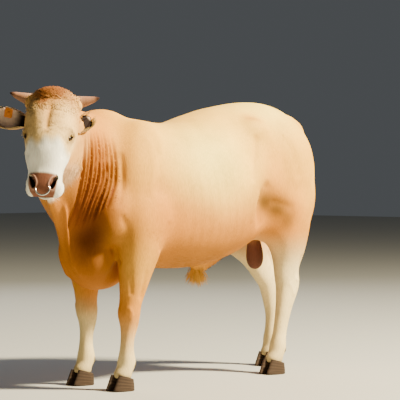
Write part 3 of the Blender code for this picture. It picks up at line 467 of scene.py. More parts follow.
body = fused("body", [body_forms()], ROUGH_VOXEL)
points = coordinates(body)
points = relaxed(points, neighbours(body), BODY_ROUNDS, RELAX)
move_to(body, relaxed(points, neighbours(body), TRUNK_ROUNDS, RELAX * trunkness(points)))
skin = fused("skin", [as_part(body), head_forms()], VOXEL)
points = coordinates(skin)
edges = neighbours(skin)
print("fused skin has", len(points), "points")
points = relaxed(points, edges, SKIN_ROUNDS, RELAX)
move_to(skin, points)


def normals_of(obj):
    """The smooth normal at each vertex."""
    normals = np.empty(len(obj.data.vertices) * 3)
    obj.data.vertex_normals.foreach_get("vector", normals)
    return normals.reshape(-1, 3)


points = points - normals_of(skin) * COAT_DEPTH
move_to(skin, points)

# %% [markdown]
# ## Folds, creases and holes
# The masses give the big forms. What makes it this animal is smaller: the curtain of folds down the neck,
# the edge of the shoulder blade, the grooves between the muscles of the thigh, the brows, the nostrils.
# Each is a line laid on the skin, and the skin rises or sinks by a bell curve of its distance from that
# line. The muzzle and the sockets need a finer mesh first, so every edge there is split.

# %% Refine the muzzle and sockets
SOCKET_REACH, MUZZLE_FROM = 0.05, -0.385  # of the finer mesh, from each eye and down the face


def on_left(points):
    """Points of either side, carried over to the left one."""
    return np.abs(points) * (1, 0, 0) + points * (0, 1, 1)


def refine(obj, wanted):
    """Splits each edge whose ends are both wanted, so the mesh there is twice as fine."""
    bm = bmesh.new()
    bm.from_mesh(obj.data)
    bm.verts.ensure_lookup_table()
    edges = [edge for edge in bm.edges if all(wanted[vertex.index] for vertex in edge.verts)]
    bmesh.ops.subdivide_edges(bm, edges=edges, cuts=1, use_grid_fill=True)
    bmesh.ops.triangulate(bm, faces=[face for face in bm.faces if len(face.verts) > 4])
    bm.to_mesh(obj.data)
    bm.free()


def fine_parts(points):
    """Where the mesh is refined: the end of the muzzle and a ball round each eye."""
    head = to_head(points)
    socket = np.linalg.norm(on_left(head) - EYE, axis=1) < SOCKET_REACH
    return (headness(points) > 0.5) & ((head[:, 1] < MUZZLE_FROM) | socket)


refine(skin, fine_parts(points))
points = coordinates(skin)
points = relaxed(points, neighbours(skin), FINE_ROUNDS, RELAX * fine_parts(points))
move_to(skin, points)
print("refined skin has", len(points), "points")

# %% [markdown]
# A line is a smooth curve through a few points. Its distance from every point of the skin is found one
# short straight piece at a time. The lines are given for the left side, and the right side is their
# mirror image.

# %% Lines on the skin
END_FADE, FOLD_FADE = 0.15, 0.42  # the share of a line over which its ends fade, and a neck fold's upper end
FOLD_POINTS = 6


def distance_to_line(points, rows, steps=6):
    """The distance of each point from a smooth line, and how far along it (0 to 1) its nearest point lies."""
    line = smooth_rows(rows, steps)
    best = np.full(len(points), np.inf)
    along = np.zeros(len(points))
    for i, (a, b) in enumerate(zip(line[:-1], line[1:])):
        span = b - a
        t = np.clip((points - a) @ span / (span @ span), 0, 1)
        d = np.linalg.norm(points - a - t[:, None] * span, axis=1)
        nearer = d < best
        best = np.where(nearer, d, best)
        along = np.where(nearer, (i + t) / (len(line) - 1), along)
    return best, along


def bell_line(points, rows, width):
    """exp(-(distance / width) squared) round a line, fading out toward both of its ends. A fold of the
    neck, which alone has six points, fades more slowly at its upper end."""
    rows = np.asarray(rows, float)
    low, high = rows.min(axis=0) - 3 * width, rows.max(axis=0) + 3 * width
    near = np.all((points > low) & (points < high), axis=1)
    value = np.zeros(len(points))
    d, t = distance_to_line(points[near], rows)
    upper = FOLD_FADE if len(rows) == FOLD_POINTS else END_FADE
    ends = smoothstep(t, 0, upper) * smoothstep(t, 1, 1 - END_FADE)
    value[near] = np.exp(-(d / width) ** 2) * ends
    return value


# Points of each fold of the neck's left side, in the body's own frame, from the jaw back to the shoulder.
NECK_FOLDS = [
    [(0.206, -0.846, 1.310), (0.213, -0.848, 1.253), (0.208, -0.850, 1.140), (0.174, -0.844, 1.016),
     (0.107, -0.827, 0.891), (0.053, -0.822, 0.806)],
    [(0.190, -0.792, 1.325), (0.205, -0.798, 1.264), (0.207, -0.800, 1.165), (0.188, -0.802, 1.041),
     (0.131, -0.802, 0.906), (0.054, -0.782, 0.790)],
    [(0.174, -0.733, 1.325), (0.194, -0.738, 1.264), (0.202, -0.739, 1.165), (0.194, -0.745, 1.065),
     (0.151, -0.765, 0.926), (0.077, -0.748, 0.804)],
    [(0.160, -0.672, 1.325), (0.187, -0.681, 1.255), (0.207, -0.687, 1.165), (0.194, -0.681, 1.065),
     (0.181, -0.724, 0.941), (0.122, -0.722, 0.825)],
    [(0.166, -0.612, 1.305), (0.185, -0.622, 1.235), (0.198, -0.621, 1.140), (0.207, -0.637, 1.040),
     (0.207, -0.680, 0.940), (0.165, -0.690, 0.850)],
]
FOLD_WIDTH, FOLD_DEPTH = 0.0105, 0.0165
RIGHT_SHARE = 0.35  # of the folds' depth, on the stretched side
# The ridges and the groove between two folds: how far on to the next, and the share of the folds' depth.
BETWEEN_FOLDS = ((0.27, 0.45), (0.5, -0.55), (0.75, 0.6))
# Other lines of the left side: their points, width and height (a groove if negative).
BODY_LINES = [
    ([(0.200, -0.587, 1.215), (0.223, -0.596, 1.115), (0.235, -0.608, 1.015), (0.244, -0.653, 0.915)],
     0.016, -0.008),
    ([(0.235, -0.404, 1.318), (0.274, -0.387, 1.216), (0.285, -0.383, 1.089), (0.306, -0.420, 0.963)],
     0.026, -0.007),
    ([(0.225, -0.450, 1.300), (0.262, -0.440, 1.200), (0.275, -0.440, 1.080), (0.290, -0.470, 0.960)],
     0.024, 0.006),
    ([(0.285, -0.330, 0.860), (0.290, -0.360, 0.780), (0.270, -0.385, 0.690)], 0.022, -0.012),
    ([(0.152, -0.596, 0.727), (0.156, -0.564, 0.681), (0.192, -0.572, 0.637)], 0.014, -0.010),
    ([(0.240, -0.630, 0.900), (0.265, -0.600, 0.820), (0.255, -0.600, 0.730)], 0.018, -0.008),
    ([(0.278, 0.381, 1.311), (0.294, 0.354, 1.220), (0.320, 0.316, 1.124), (0.336, 0.281, 1.034)],
     0.020, -0.010),
    ([(0.320, 0.440, 1.060), (0.332, 0.385, 0.980), (0.328, 0.345, 0.900), (0.270, 0.390, 0.800)],
     0.030, -0.016),
    ([(0.332, 0.345, 1.010), (0.335, 0.300, 0.920), (0.310, 0.270, 0.830)], 0.018, 0.008),
    ([(0.313, 0.464, 0.942), (0.312, 0.560, 0.925), (0.300, 0.640, 0.900)], 0.026, -0.009),
    ([(0.290, 0.880, 1.240), (0.305, 0.850, 1.080), (0.290, 0.830, 0.920), (0.240, 0.820, 0.800)],
     0.024, -0.012),
    ([(0.285, 0.600, 1.300), (0.310, 0.640, 1.180), (0.318, 0.680, 1.050)], 0.030, -0.006),
    ([(0.126, -0.908, 0.967), (0.057, -0.826, 0.816), (0.033, -0.761, 0.663), (0.046, -0.689, 0.560)],
     0.012, 0.016),
    ([(0.150, -0.880, 0.960), (0.090, -0.800, 0.810), (0.075, -0.740, 0.680), (0.090, -0.670, 0.580)],
     0.016, -0.008),
]
# Lines of each leg, measured from its foot: out, behind and up.
LEG_LINES = {
    "front": [([(0.044, 0.016, 0.345), (0.036, 0.008, 0.270), (0.038, 0.004, 0.190)], 0.009, -0.006),
              ([(-0.044, 0.016, 0.345), (-0.036, 0.008, 0.270), (-0.038, 0.004, 0.190)], 0.009, -0.006),
              ([(0.040, -0.050, 0.430), (0.052, -0.030, 0.385), (0.046, -0.036, 0.345)], 0.010, 0.004),
              ([(0.085, 0.030, 0.620), (0.068, 0.026, 0.530), (0.056, 0.020, 0.450)], 0.016, -0.007),
              ([(0.060, -0.070, 0.640), (0.060, -0.050, 0.550), (0.052, -0.036, 0.470)], 0.014, -0.006)],
    "hind": [([(0.060, 0.130, 0.660), (0.050, 0.135, 0.580), (0.050, 0.125, 0.510)], 0.020, -0.014),
             ([(-0.050, 0.130, 0.660), (-0.046, 0.135, 0.580), (-0.048, 0.125, 0.510)], 0.020, -0.014),
             ([(0.042, 0.080, 0.380), (0.038, 0.055, 0.290), (0.038, 0.036, 0.200)], 0.009, -0.006),
             ([(-0.042, 0.080, 0.380), (-0.038, 0.055, 0.290), (-0.038, 0.036, 0.200)], 0.009, -0.006),
             ([(0.050, 0.050, 0.500), (0.056, 0.080, 0.460), (0.048, 0.100, 0.420)], 0.012, 0.005)],
}
# Lines of the head's left side, in its own frame.
HEAD_LINES = [
    ([(0.056, -0.195, 0.036), (0.080, -0.172, 0.018), (0.106, -0.168, -0.010), (0.122, -0.190, -0.040)],
     0.014, 0.007),
    ([(0.062, -0.232, 0.032), (0.084, -0.246, 0.006), (0.100, -0.252, -0.020)], 0.012, -0.006),
    ([(0.086, -0.255, 0.004), (0.086, -0.290, -0.006), (0.084, -0.330, -0.022)], 0.011, -0.005),
    ([(0.112, -0.262, -0.060), (0.106, -0.320, -0.066), (0.098, -0.370, -0.072)], 0.014, 0.006),
    ([(0.100, -0.300, -0.110), (0.092, -0.350, -0.118), (0.086, -0.390, -0.122)], 0.016, -0.006),
    ([(0.126, -0.130, -0.100), (0.112, -0.220, -0.170), (0.084, -0.310, -0.180)], 0.022, 0.006),
]
BROW_GROOVE = ([(0.004, -0.070, 0.055), (0, -0.120, 0.062), (-0.003, -0.170, 0.064), (0, -0.220, 0.060)],
               0.014, -0.006)
# Broad swellings and hollows: centre, reach and height, in the body's frame and in the head's, on the left.
BODY_MOUNDS = [
    ((0.330, 0.430, 0.930), 0.085, -0.034),
    ((0.318, 0.560, 0.990), 0.100, 0.016),
    ((0.270, -0.470, 0.800), 0.090, 0.010),
    ((0.330, 0.300, 1.180), 0.080, -0.010),
    ((0.205, 0.420, 1.400), 0.070, -0.006),
]
HEAD_MOUNDS = [
    ((0.056, -0.130, 0.045), 0.045, 0.009),
    ((0.030, -0.280, 0.045), 0.030, -0.005),
    ((0.105, -0.300, -0.030), 0.030, -0.005),
]


def across_sides(lines, place):
    """Each line of the left side and its mirror image, moved into the scene's frame by place."""
    for side in SIDES.values():
        for rows, width, height in lines:
            yield place(np.array(rows) * (side, 1, 1)), width, height


def to_scene(rows):
    """Points of the body's frame, in the scene's."""
    return rows + SHIFT


def neck_lines():
    """A groove down each fold line, and two ridges and a fainter groove on the way to the next."""
    for side, share in ((1, 1.0), (-1, RIGHT_SHARE)):
        folds = [np.array(fold) * (side, 1, 1) + SHIFT for fold in NECK_FOLDS]
        for fold in folds:
            yield fold, FOLD_WIDTH, -FOLD_DEPTH * share
        for first, second in zip(folds, folds[1:]):
            for t, height in BETWEEN_FOLDS:
                yield first + (second - first) * t, FOLD_WIDTH * 0.8, FOLD_DEPTH * share * height


def all_lines():
    """(points, width, height) of every line, in the scene's frame."""
    yield from neck_lines()
    yield from across_sides(BODY_LINES, to_scene)
    yield from across_sides(HEAD_LINES, from_head)
    yield from_head(BROW_GROOVE[0]), *BROW_GROOVE[1:]
    for end, lines in LEG_LINES.items():
        for side in SIDES.values():
            for rows, width, height in lines:
                yield to_scene(leg_rows(end, side, rows)), width, height


RIB_HEIGHT, RIB_SPACING = 0.0008, 0.062


def ripples(points):
    """Faint ribs on the barrel: a sine of the distance along it, faded at the edges of the rib cage."""
    body = points - SHIFT
    cage = smoothstep(body[:, 1], -0.28, -0.15) * smoothstep(body[:, 1], 0.32, 0.18)
    cage = cage * smoothstep(body[:, 2], 0.66, 0.78) * smoothstep(body[:, 2], 1.22, 1.08)
    return RIB_HEIGHT * np.sin(2 * math.pi * (body[:, 1] + 0.12 * body[:, 2]) / RIB_SPACING) * cage


rise = ripples(points)
for rows, width, height in all_lines():
    rise += height * bell_line(points, rows, width)
for mounds, place in ((BODY_MOUNDS, to_scene), (HEAD_MOUNDS, from_head)):
    for centre, width, height in across_sides(mounds, place):
        rise += height * np.exp(-(np.linalg.norm(points - centre, axis=1) / width) ** 2)
points = points + normals_of(skin) * rise[:, None]

# %% [markdown]
# The nostrils are commas: an oval opening whose outer end curls up. In each one's own flat frame, the
# distance from the comma's middle line says how deep the skin is pushed in, and a rim stands up round it.
# The mouth is a groove that runs round the muzzle with a full lip on each side of it.

# %% Nostrils and mouth
NOSTRIL_LINE = np.array([(0.044, -0.474), (0.047, -0.463), (0.051, -0.451), (0.056, -0.439), (0.063, -0.429),
                         (0.067, -0.420), (0.062, -0.412)])
NOSTRIL_HALF = [0.0090, 0.0120, 0.0120, 0.0100, 0.0070, 0.0040, 0.0015]
NOSTRIL_DEPTH, NOSTRIL_RIM = 0.026, 0.0035
NOSE_MIDDLE, NOSE_HEIGHT = 0.002, -0.085  # nothing below this height belongs to a nostril
MOUTH_MIDDLE = np.array((NOSE_MIDDLE, -0.390))
MOUTH_HEIGHT, MOUTH_DROP, MOUTH_BACK = -0.138, 0.010, -0.33
MOUTH_TURN = math.radians(118), math.radians(95)  # the mouth's line fades out between these turns from ahead
# Rise, height above the mouth's line and width.
UPPER_LIP, LOWER_LIP = (0.0030, 0.014, 0.009), (0.0025, -0.013, 0.008)
MOUTH_GROOVE = (-0.0085, 0, 0.0040)


def nostril_reach(head):
    """How far each point of the head's frame is from the middle of a nostril, as a share of its opening."""
    flat = np.stack([np.abs(head[:, 0] - NOSE_MIDDLE), head[:, 1]], axis=1)
    line = smooth_rows(np.column_stack([NOSTRIL_LINE, NOSTRIL_HALF]), 6)
    reach = (np.linalg.norm(flat[:, None] - line[None, :, :2], axis=2) / line[None, :, 2]).min(axis=1)
    return np.where(head[:, 2] > NOSE_HEIGHT, reach, 9.0)


def mouth_side(head):
    """How far a point lies above the line of the mouth, and how much of the line there is at its place."""
    angle = np.arctan2(head[:, 0] - MOUTH_MIDDLE[0], MOUTH_MIDDLE[1] - head[:, 1])
    line = MOUTH_HEIGHT - MOUTH_DROP * (1 - np.cos(angle))
    return head[:, 2] - line, smoothstep(np.abs(angle), *MOUTH_TURN) * (head[:, 1] < MOUTH_BACK)


def bell(value, rise, centre, width):
    """rise times exp(-((value - centre) / width) squared)."""
    return rise * np.exp(-((value - centre) / width) ** 2)


head = to_head(points)
muzzle = (headness(points) > 0.5) & (head[:, 1] < -0.32)
inward = np.zeros((len(points), 3))
reach = nostril_reach(head[muzzle])
inward[muzzle, 1] = NOSTRIL_DEPTH * 0.75 * smoothstep(reach, 1.05, 0.35)
inward[muzzle, 2] = -NOSTRIL_DEPTH * smoothstep(reach, 1.05, 0.35) + bell(reach, NOSTRIL_RIM, 1.45, 0.35)
above, there = mouth_side(head[muzzle])
points = points + inward @ HEAD[:3, :3].T
lips = np.zeros(len(points))
lips[muzzle] = there * sum(bell(above, *part) for part in (UPPER_LIP, LOWER_LIP, MOUTH_GROOVE))
points = points + normals_of(skin) * lips[:, None]
move_to(skin, points)

# %% [markdown]
# The mesh is even all over, and much finer than the broad back needs. It is thinned there only, so that
# the head keeps its detail and the whole skin stays light.

# %% Thin the body
BODY_TRIANGLES = 76000


def thin(obj, free, triangles):
    """Decimates where free is 1, until that part has about this many triangles."""
    obj.data.calc_loop_triangles()
    corners = np.empty(len(obj.data.loop_triangles) * 3, int)
    obj.data.loop_triangles.foreach_get("vertices", corners)
    loose = (free[corners.reshape(-1, 3)] > 0.5).all(axis=1).sum()
    group = obj.vertex_groups.new(name="free")
    group.add(np.flatnonzero(free > 0.5).tolist(), 1.0, "REPLACE")
    reduce = obj.modifiers.new("reduce", "DECIMATE")
    reduce.ratio = 1 - (loose - triangles) / (len(corners) // 3)
    reduce.vertex_group = "free"
    apply_modifiers(obj)
    obj.vertex_groups.clear()


thin(skin, 1 - headness(coordinates(skin)), BODY_TRIANGLES)
skin.data.shade_smooth()
skin.data.calc_loop_triangles()
print("thinned skin has", len(skin.data.loop_triangles), "triangles")

# %% [markdown]
# ## Colours and the add-node helper
# Colours are written as the sRGB hex values that a picture shows, and one function turns them to the
# linear values that the renderer works in. One helper adds a node, sets it and wires it.

# %% Colour and node helpers
def linear(hexcode):
    """An sRGB hex colour as linear red, green and blue."""
    value = np.array([int(hexcode[i:i + 2], 16) for i in (1, 3, 5)]) / 255
    return np.where(value <= 0.04045, value / 12.92, ((value + 0.055) / 1.055) ** 2.4)


def node(tree, kind, settings=None, values=None, links=None):
    """Adds a node of this kind, with its settings, its socket values and (socket: output) links."""
    made = tree.nodes.new(kind)
    for name, value in (settings or {}).items():
        setattr(made, name, value)
    for name, value in (values or {}).items():
        made.inputs[name].default_value = value
    for name, output in (links or {}).items():
        tree.links.new(output, made.inputs[name])
    return made


def start_material(name, **values):
    """A material with only a Principled shader, whose constant values are set on its own sockets."""
    made = bpy.data.materials.new(name)
    made.use_nodes = True
    shader = made.node_tree.nodes["Principled BSDF"]
    for key, value in values.items():
        shader.inputs[key.replace("_", " ")].default_value = value
    return made, made.node_tree, shader


# %% [markdown]
# ## The markings
# The coat runs from pale cream on the back and ribs to orange tan on the neck, shoulder, belly and
# thighs, with cream legs, a white muzzle and a reddish curly poll. The same function colours the skin,
# the tufts and the lids by their place on the body, so no edge shows where a tuft grows. It is stored as
# a colour on each point.

# %% Marking colours by place
CREAM, PALE, TAN = linear("#e6ac3e"), linear("#fae172"), linear("#cb8128")
BROW, FACE_TAN = linear("#f2cd88"), linear("#cf8e40")
RUST, DEEP_SHADE, WHITE = linear("#8a481e"), linear("#642c0e"), linear("#fefae8")
SHADE, STIFLE_SHADOW, CHEST_SHADE = linear("#5a4218"), linear("#3c2a0c"), linear("#451f0c")
MUZZLE_SKIN, MUZZLE_RIM, NOSTRIL_SHADE = linear("#80533f"), linear("#b18a76"), linear("#1d0d0a")
MOUTH_LINE_DARK, LASH_BROWN, HOOF_DARK = linear("#3a2018"), linear("#4a2d18"), linear("#3a2c20")
SOCK, SCROTAL = linear("#e6cf96"), linear("#70493c")
# Painted shade: the neck's creases, and more faintly the grooves between its folds, are darkened with a deep
# brown.
FOLD_SHADE, BETWEEN_SHADE = (0.0125, 0.95), (0.0070, 0.60)  # width and amount of the folds' dark
PAINTED_FOLD_SHADE = [(rows, *FOLD_SHADE) for rows in NECK_FOLDS]
PAINTED_FOLD_SHADE += [((np.array(a) + np.array(b)) / 2, *BETWEEN_SHADE) for a, b in zip(NECK_FOLDS, NECK_FOLDS[1:])]


def mixed(base, colour, amount):
    """base moved toward colour by amount, for every point."""
    return base + (colour - base) * np.clip(amount, 0, 1)[:, None]


def ball(points, centre, sizes):
    """1 at the centre, falling smoothly to 0 at about the given half sizes."""
    return np.exp(-1.5 * (((points - centre) / sizes) ** 2).sum(axis=1))


# Patches laid over the body's base colour in turn, alike on both sides: colour, amount, centre, half sizes.
BODY_PATCHES = [
    # Paler cream on the upper side and the rump, partly coat colour and partly painted sunlight.
    (PALE, 0.85, (0.30, 0.00, 1.18), (0.30, 0.34, 0.30)),
    (PALE, 0.70, (0.10, 0.62, 1.45), (0.35, 0.40, 0.20)),
    (TAN, 1.10, (0.17, -0.76, 1.12), (0.26, 0.24, 0.46)),
    (TAN, 0.70, (0.05, -0.66, 1.42), (0.20, 0.22, 0.16)),
    (TAN, 0.60, (0.26, -0.40, 0.86), (0.16, 0.22, 0.30)),
    # Deeper reddish lower neck, partly coat colour and partly painted shade.
    (RUST, 0.80, (0.14, -0.76, 0.98), (0.24, 0.16, 0.28)),
    # Painted shade: the chest under the neck and the brisket below it are darkened where the body shades
    # them.
    (CHEST_SHADE, 0.95, (0.13, -0.70, 0.79), (0.22, 0.15, 0.19)),
    (DEEP_SHADE, 0.60, (0.04, -0.64, 0.64), (0.22, 0.18, 0.22)),
    (CREAM, 0.80, (0.0, 0.20, 0.56), (0.08, 0.08, 0.06)),
    # Painted shade along the underside of the barrel.
    (SHADE, 0.35, (0.22, -0.16, 0.62), (0.25, 0.60, 0.10)),
    # Painted light: the upper forearm is lightened where the shoulder shades it.
    (CREAM, 0.75, (0.27, -0.50, 0.66), (0.14, 0.16, 0.26)),
    (TAN, 0.75, (0.20, 0.42, 1.36), (0.06, 0.08, 0.09)),
    (TAN, 0.45, (0.30, 0.50, 1.10), (0.12, 0.14, 0.22)),
    (TAN, 0.55, (0.30, -0.20, 0.80), (0.16, 0.50, 0.16)),
    # Painted shadow: the hollow in front of the stifle is darkened in three steps.
    (STIFLE_SHADOW, 0.88, (0.32, 0.42, 0.94), (0.14, 0.100, 0.076)),
    (STIFLE_SHADOW, 0.80, (0.31, 0.52, 0.90), (0.14, 0.105, 0.065)),
    (STIFLE_SHADOW, 0.55, (0.30, 0.60, 0.84), (0.14, 0.070, 0.075)),
    (CREAM, 0.60, (0.26, 0.78, 1.00), (0.14, 0.14, 0.34)),
]


def body_marking(body):
    """Cream above and tan below, with the patches, painted shade in the neck's folds and cream stockings."""
    mirrored = on_left(body)
    height = body[:, 2]
    wander = 0.04 * np.sin(body[:, 1] * 9) + 0.02 * np.sin(body[:, 1] * 23 + 1)
    colour = mixed(np.broadcast_to(TAN, body.shape), CREAM, smoothstep(height + wander, 0.84, 1.16))
    for patch, amount, centre, sizes in BODY_PATCHES:
        colour = mixed(colour, patch, amount * ball(mirrored, centre, sizes))
    # painted shade along each crease of the neck and between the folds
    for rows, width, amount in PAINTED_FOLD_SHADE:
        colour = mixed(colour, DEEP_SHADE, amount * bell_line(mirrored, rows, width))
    hind = smoothstep(body[:, 1], 0.30, 0.45)
    near = smoothstep(body[:, 0], -0.1, 0.1) * (1 - hind)
    stocking = smoothstep(height, 0.50 + 0.30 * hind - 0.08 * near, 0.30 + 0.26 * hind - 0.18 * near)
    colour = mixed(colour, SOCK, stocking)
    colour = mixed(colour, LASH_BROWN, 0.30 * smoothstep(height, 0.14, 0.07))
    for place in DEWCLAWS:
        colour = mixed(colour, HOOF_DARK, smoothstep(np.linalg.norm(body - place, axis=1), 0.024, 0.017))
    scrotum = ball(body, (0, 0.685, 0.62), (0.16, 0.12, 0.16))
    return mixed(colour, SCROTAL, 1.6 * scrotum * smoothstep(height, 0.80, 0.72))


def face_marking(head):
    """A tan forehead with paler brows and a rusty crown, white from below the eyes, and a bare nose, with
    painted shade down the forehead's groove, round the eyes and in the nostrils.
    """
    mirrored = on_left(head)
    down = -head[:, 1]
    wander = 0.012 * np.sin(head[:, 0] * 40) + 0.010 * np.sin(head[:, 0] * 90 + 2)
    colour = mixed(np.broadcast_to(FACE_TAN, head.shape), BROW, 0.35 + 0.65 * smoothstep(down, 0.10, 0.24))
    colour = mixed(colour, BROW, 0.85 * ball(mirrored, (0.070, -0.125, 0.030), (0.070, 0.080, 0.060)))
    # Painted shade down the middle of the forehead, along its groove.
    groove_shade = smoothstep(mirrored[:, 0], 0.030, 0.0) * smoothstep(down, 0.26, 0.20)
    colour = mixed(colour, FACE_TAN, 0.45 * groove_shade)
    crown = smoothstep(down + 2 * wander, 0.110, 0.010) * smoothstep(mirrored[:, 0], 0.130, 0.05)
    colour = mixed(colour, RUST, 0.85 * crown * smoothstep(head[:, 2], -0.13, -0.04))
    colour = mixed(colour, WHITE, smoothstep(down + wander, 0.235, 0.295))
    jowl = smoothstep(head[:, 2], -0.06, -0.14) * smoothstep(down, 0.42, 0.34)
    colour = mixed(colour, FACE_TAN, 0.75 * jowl)
    # Painted shade round each eye, where the brow shades it.
    colour = mixed(colour, LASH_BROWN, 0.95 * ball(mirrored, EYE + (0.004, 0, 0.014), (0.036, 0.046, 0.040)))
    side = np.interp(head[:, 2], [MOUTH_HEIGHT, -0.09, -0.04], [0.046, 0.058, 0.070])
    pad = smoothstep(mirrored[:, 0] - side, 0.007, -0.005) * smoothstep(down, 0.405, 0.420)
    pad = pad * (head[:, 2] > MOUTH_HEIGHT)
    reach = nostril_reach(head)
    colour = mixed(colour, MUZZLE_SKIN, pad)
    # Paler rims round the nostrils, partly a painted highlight on the raised rim.
    colour = mixed(colour, MUZZLE_RIM, 0.7 * pad * np.exp(-((reach - 1.5) / 0.4) ** 2))
    above, there = mouth_side(head)
    # Darker along the line of the mouth.
    colour = mixed(colour, MOUTH_LINE_DARK, 0.8 * there * np.exp(-((above + 0.003) / 0.009) ** 2))
    # Painted shade inside the nostrils.
    return mixed(colour, NOSTRIL_SHADE, smoothstep(reach, 1.12, 0.80))


def marking(points):
    """The coat's colour at each point of the scene."""
    return mixed(body_marking(points - SHIFT), face_marking(to_head(points)), headness(points))


def paint(obj, colours):
    """Stores a linear colour on each point, as the attribute that the coat's material reads."""
    layer = obj.data.attributes.new("marking", "FLOAT_COLOR", "POINT")
    opaque = np.hstack([colours, np.ones((len(colours), 1))])
    layer.data.foreach_set("color", opaque.astype(np.float32).ravel())


# %% [markdown]
# ## The coat's material
# Summer hair on cattle is 5 to 10 mm long and lies flat, so from a few metres it reads as a soft satin
# with fine streaks. Real hairs are too fine to show, so the streaks are drawn about 3 mm wide. Noise
# stretched along the lie darkens and lightens them a little and raises a shallow bump, and larger noise
# clouds the colour.

# %% Coat material
HAIR_STREAK = 0.003  # metres across a streak
CLOUD = 0.09  # metres across a patch of paler or deeper coat


def coat_material(name, roughness, streak_depth, stretch=(1, 1, 0.22)):
    """Marking colour times streak and cloud noise, with the streaks as bump."""
    made, tree, shader = start_material(name, Roughness=roughness, Specular_IOR_Level=0.06)
    place = node(tree, "ShaderNodeTexCoord").outputs["Object"]
    lie = node(tree, "ShaderNodeMapping", values={"Scale": stretch}, links={"Vector": place})
    streak = node(tree, "ShaderNodeTexNoise", links={"Vector": lie.outputs["Vector"]},
                  values={"Scale": 0.5 / HAIR_STREAK, "Detail": 3.0, "Roughness": 0.6})
    cloud = node(tree, "ShaderNodeTexNoise", links={"Vector": place},
                 values={"Scale": 0.5 / CLOUD, "Detail": 3.0})
    both = node(tree, "ShaderNodeMath", {"operation": "ADD"},
                links={0: streak.outputs["Fac"], 1: cloud.outputs["Fac"]})
    shade = node(tree, "ShaderNodeMapRange", links={"Value": both.outputs["Value"]},
                 values={"From Min": 0.6, "From Max": 1.4, "To Min": 0.76, "To Max": 1.16})
    colour = node(tree, "ShaderNodeAttribute", {"attribute_name": "marking"})
    tinted = node(tree, "ShaderNodeVectorMath", {"operation": "SCALE"},
                  links={"Vector": colour.outputs["Color"], "Scale": shade.outputs["Result"]})
    tree.links.new(tinted.outputs["Vector"], shader.inputs["Base Color"])
    bump = node(tree, "ShaderNodeBump", values={"Strength": 0.5, "Distance": streak_depth},
                links={"Height": streak.outputs["Fac"]})
    tree.links.new(bump.outputs["Normal"], shader.inputs["Normal"])
    return made


SHORT_COAT = coat_material("short summer coat", 0.62, 0.002)
FLESH_NODES = ["head", "neck", "forequarters", "barrel", "hindquarters", "tail", "scrotum"]
FLESH_NODES += [f"{end}_{name}_{part}" for end, name in LEGS for part in ("upper", "lower")]


def finish_piece(obj, material, slot, *replaced):
    """Gives a piece its material and body, and hides the nodes that it stands for; slot is not used."""
    obj.data.materials.clear()
    obj.data.materials.append(material)
    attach(obj, "root")
    if replaced:
        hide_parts(*replaced)
    return obj


paint(skin, marking(coordinates(skin)))
finish_piece(skin, SHORT_COAT, "barrel", *FLESH_NODES)

# %% [markdown]
# ## Eyes
# A bull's eye is a ball about 43 mm across with a brown iris, nearly black at its rim, and a pupil that
# is a wide bar. The ball is a grid in its own frame, whose pole looks out of the middle of the slit, so
# the iris is a set of rings round the pole and each point's colour follows from its angle. A clear coat
# gives the wet highlight.

# %% Eye frames and balls
EYE_RADIUS = 0.0215
EYE_LOOKS = np.array((0.76, -0.12, 0.62))
SLIT_ALONG = np.array((-0.45, -0.80, 0.45))  # from the outer corner to the inner one
IRIS_BROWN, IRIS_RIM = linear("#3c2312"), linear("#150c08")
PUPIL, EYE_WHITE = linear("#060505"), linear("#3a2d26")
PUPIL_LENGTH, PUPIL_HEIGHT = 0.0085, 0.0046  # half sizes of the bar


def eye_frame(side):
    """The eye's centre, and its axes as columns: along the slit, up the face, and out along the look."""
    look = EYE_LOOKS * (side, 1, 1)
    look = look / np.linalg.norm(look)
    along = SLIT_ALONG * (side, 1, 1)
    along = along - look * (along @ look)
    along /= np.linalg.norm(along)
    up = np.cross(look, along)
    up *= np.sign(up @ HEAD[2, :3])
    axes = HEAD[:3, :3] @ np.stack([along, up, look], axis=1)
    return from_head(EYE * (side, 1, 1)), axes


def eyeball(name, side):
    """Point at polar angle a and turn b: a ball that bulges by 6 percent of its radius within the iris."""
    centre, axes = eye_frame(side)
    a = np.linspace(0.01, math.pi - 0.01, 48)[:, None]
    b = np.linspace(0, 2 * math.pi, 64, endpoint=False)[None, :]
    radius = EYE_RADIUS * (1 + 0.06 * smoothstep(a, 0.75, 0.2))
    local = np.stack([radius * np.sin(a) * np.cos(b), radius * np.sin(a) * np.sin(b),
                      radius * np.cos(a) * np.ones_like(b)], axis=-1)
    vertices, faces = closed_tube(local)
    obj = new_piece(name, centre + vertices @ axes.T, faces)
    outwards(obj)
    tilt = np.arctan2(np.hypot(vertices[:, 0], vertices[:, 1]), vertices[:, 2])
    turn = np.arctan2(vertices[:, 1], vertices[:, 0])
    streaks = 0.5 + 0.5 * np.sin(turn * 23 + 2 * np.sin(turn * 7))
    colour = mixed(np.broadcast_to(IRIS_BROWN, vertices.shape), IRIS_RIM, 0.45 * streaks)
    colour = mixed(colour, IRIS_RIM, smoothstep(tilt, 0.62, 0.80))
    colour = mixed(colour, EYE_WHITE, smoothstep(tilt, 0.84, 0.95))
    pupil = np.hypot(vertices[:, 0] / PUPIL_LENGTH, vertices[:, 1] / PUPIL_HEIGHT)
    colour = mixed(colour, PUPIL, smoothstep(pupil, 1.1, 0.9) * (vertices[:, 2] > 0))
    paint(obj, colour)
    return obj


def outwards(obj):
    """Turns every face of a closed mesh outwards."""
    bm = bmesh.new()
    bm.from_mesh(obj.data)
    bmesh.ops.recalc_face_normals(bm, faces=bm.faces)
    bm.to_mesh(obj.data)
    bm.free()
    return obj


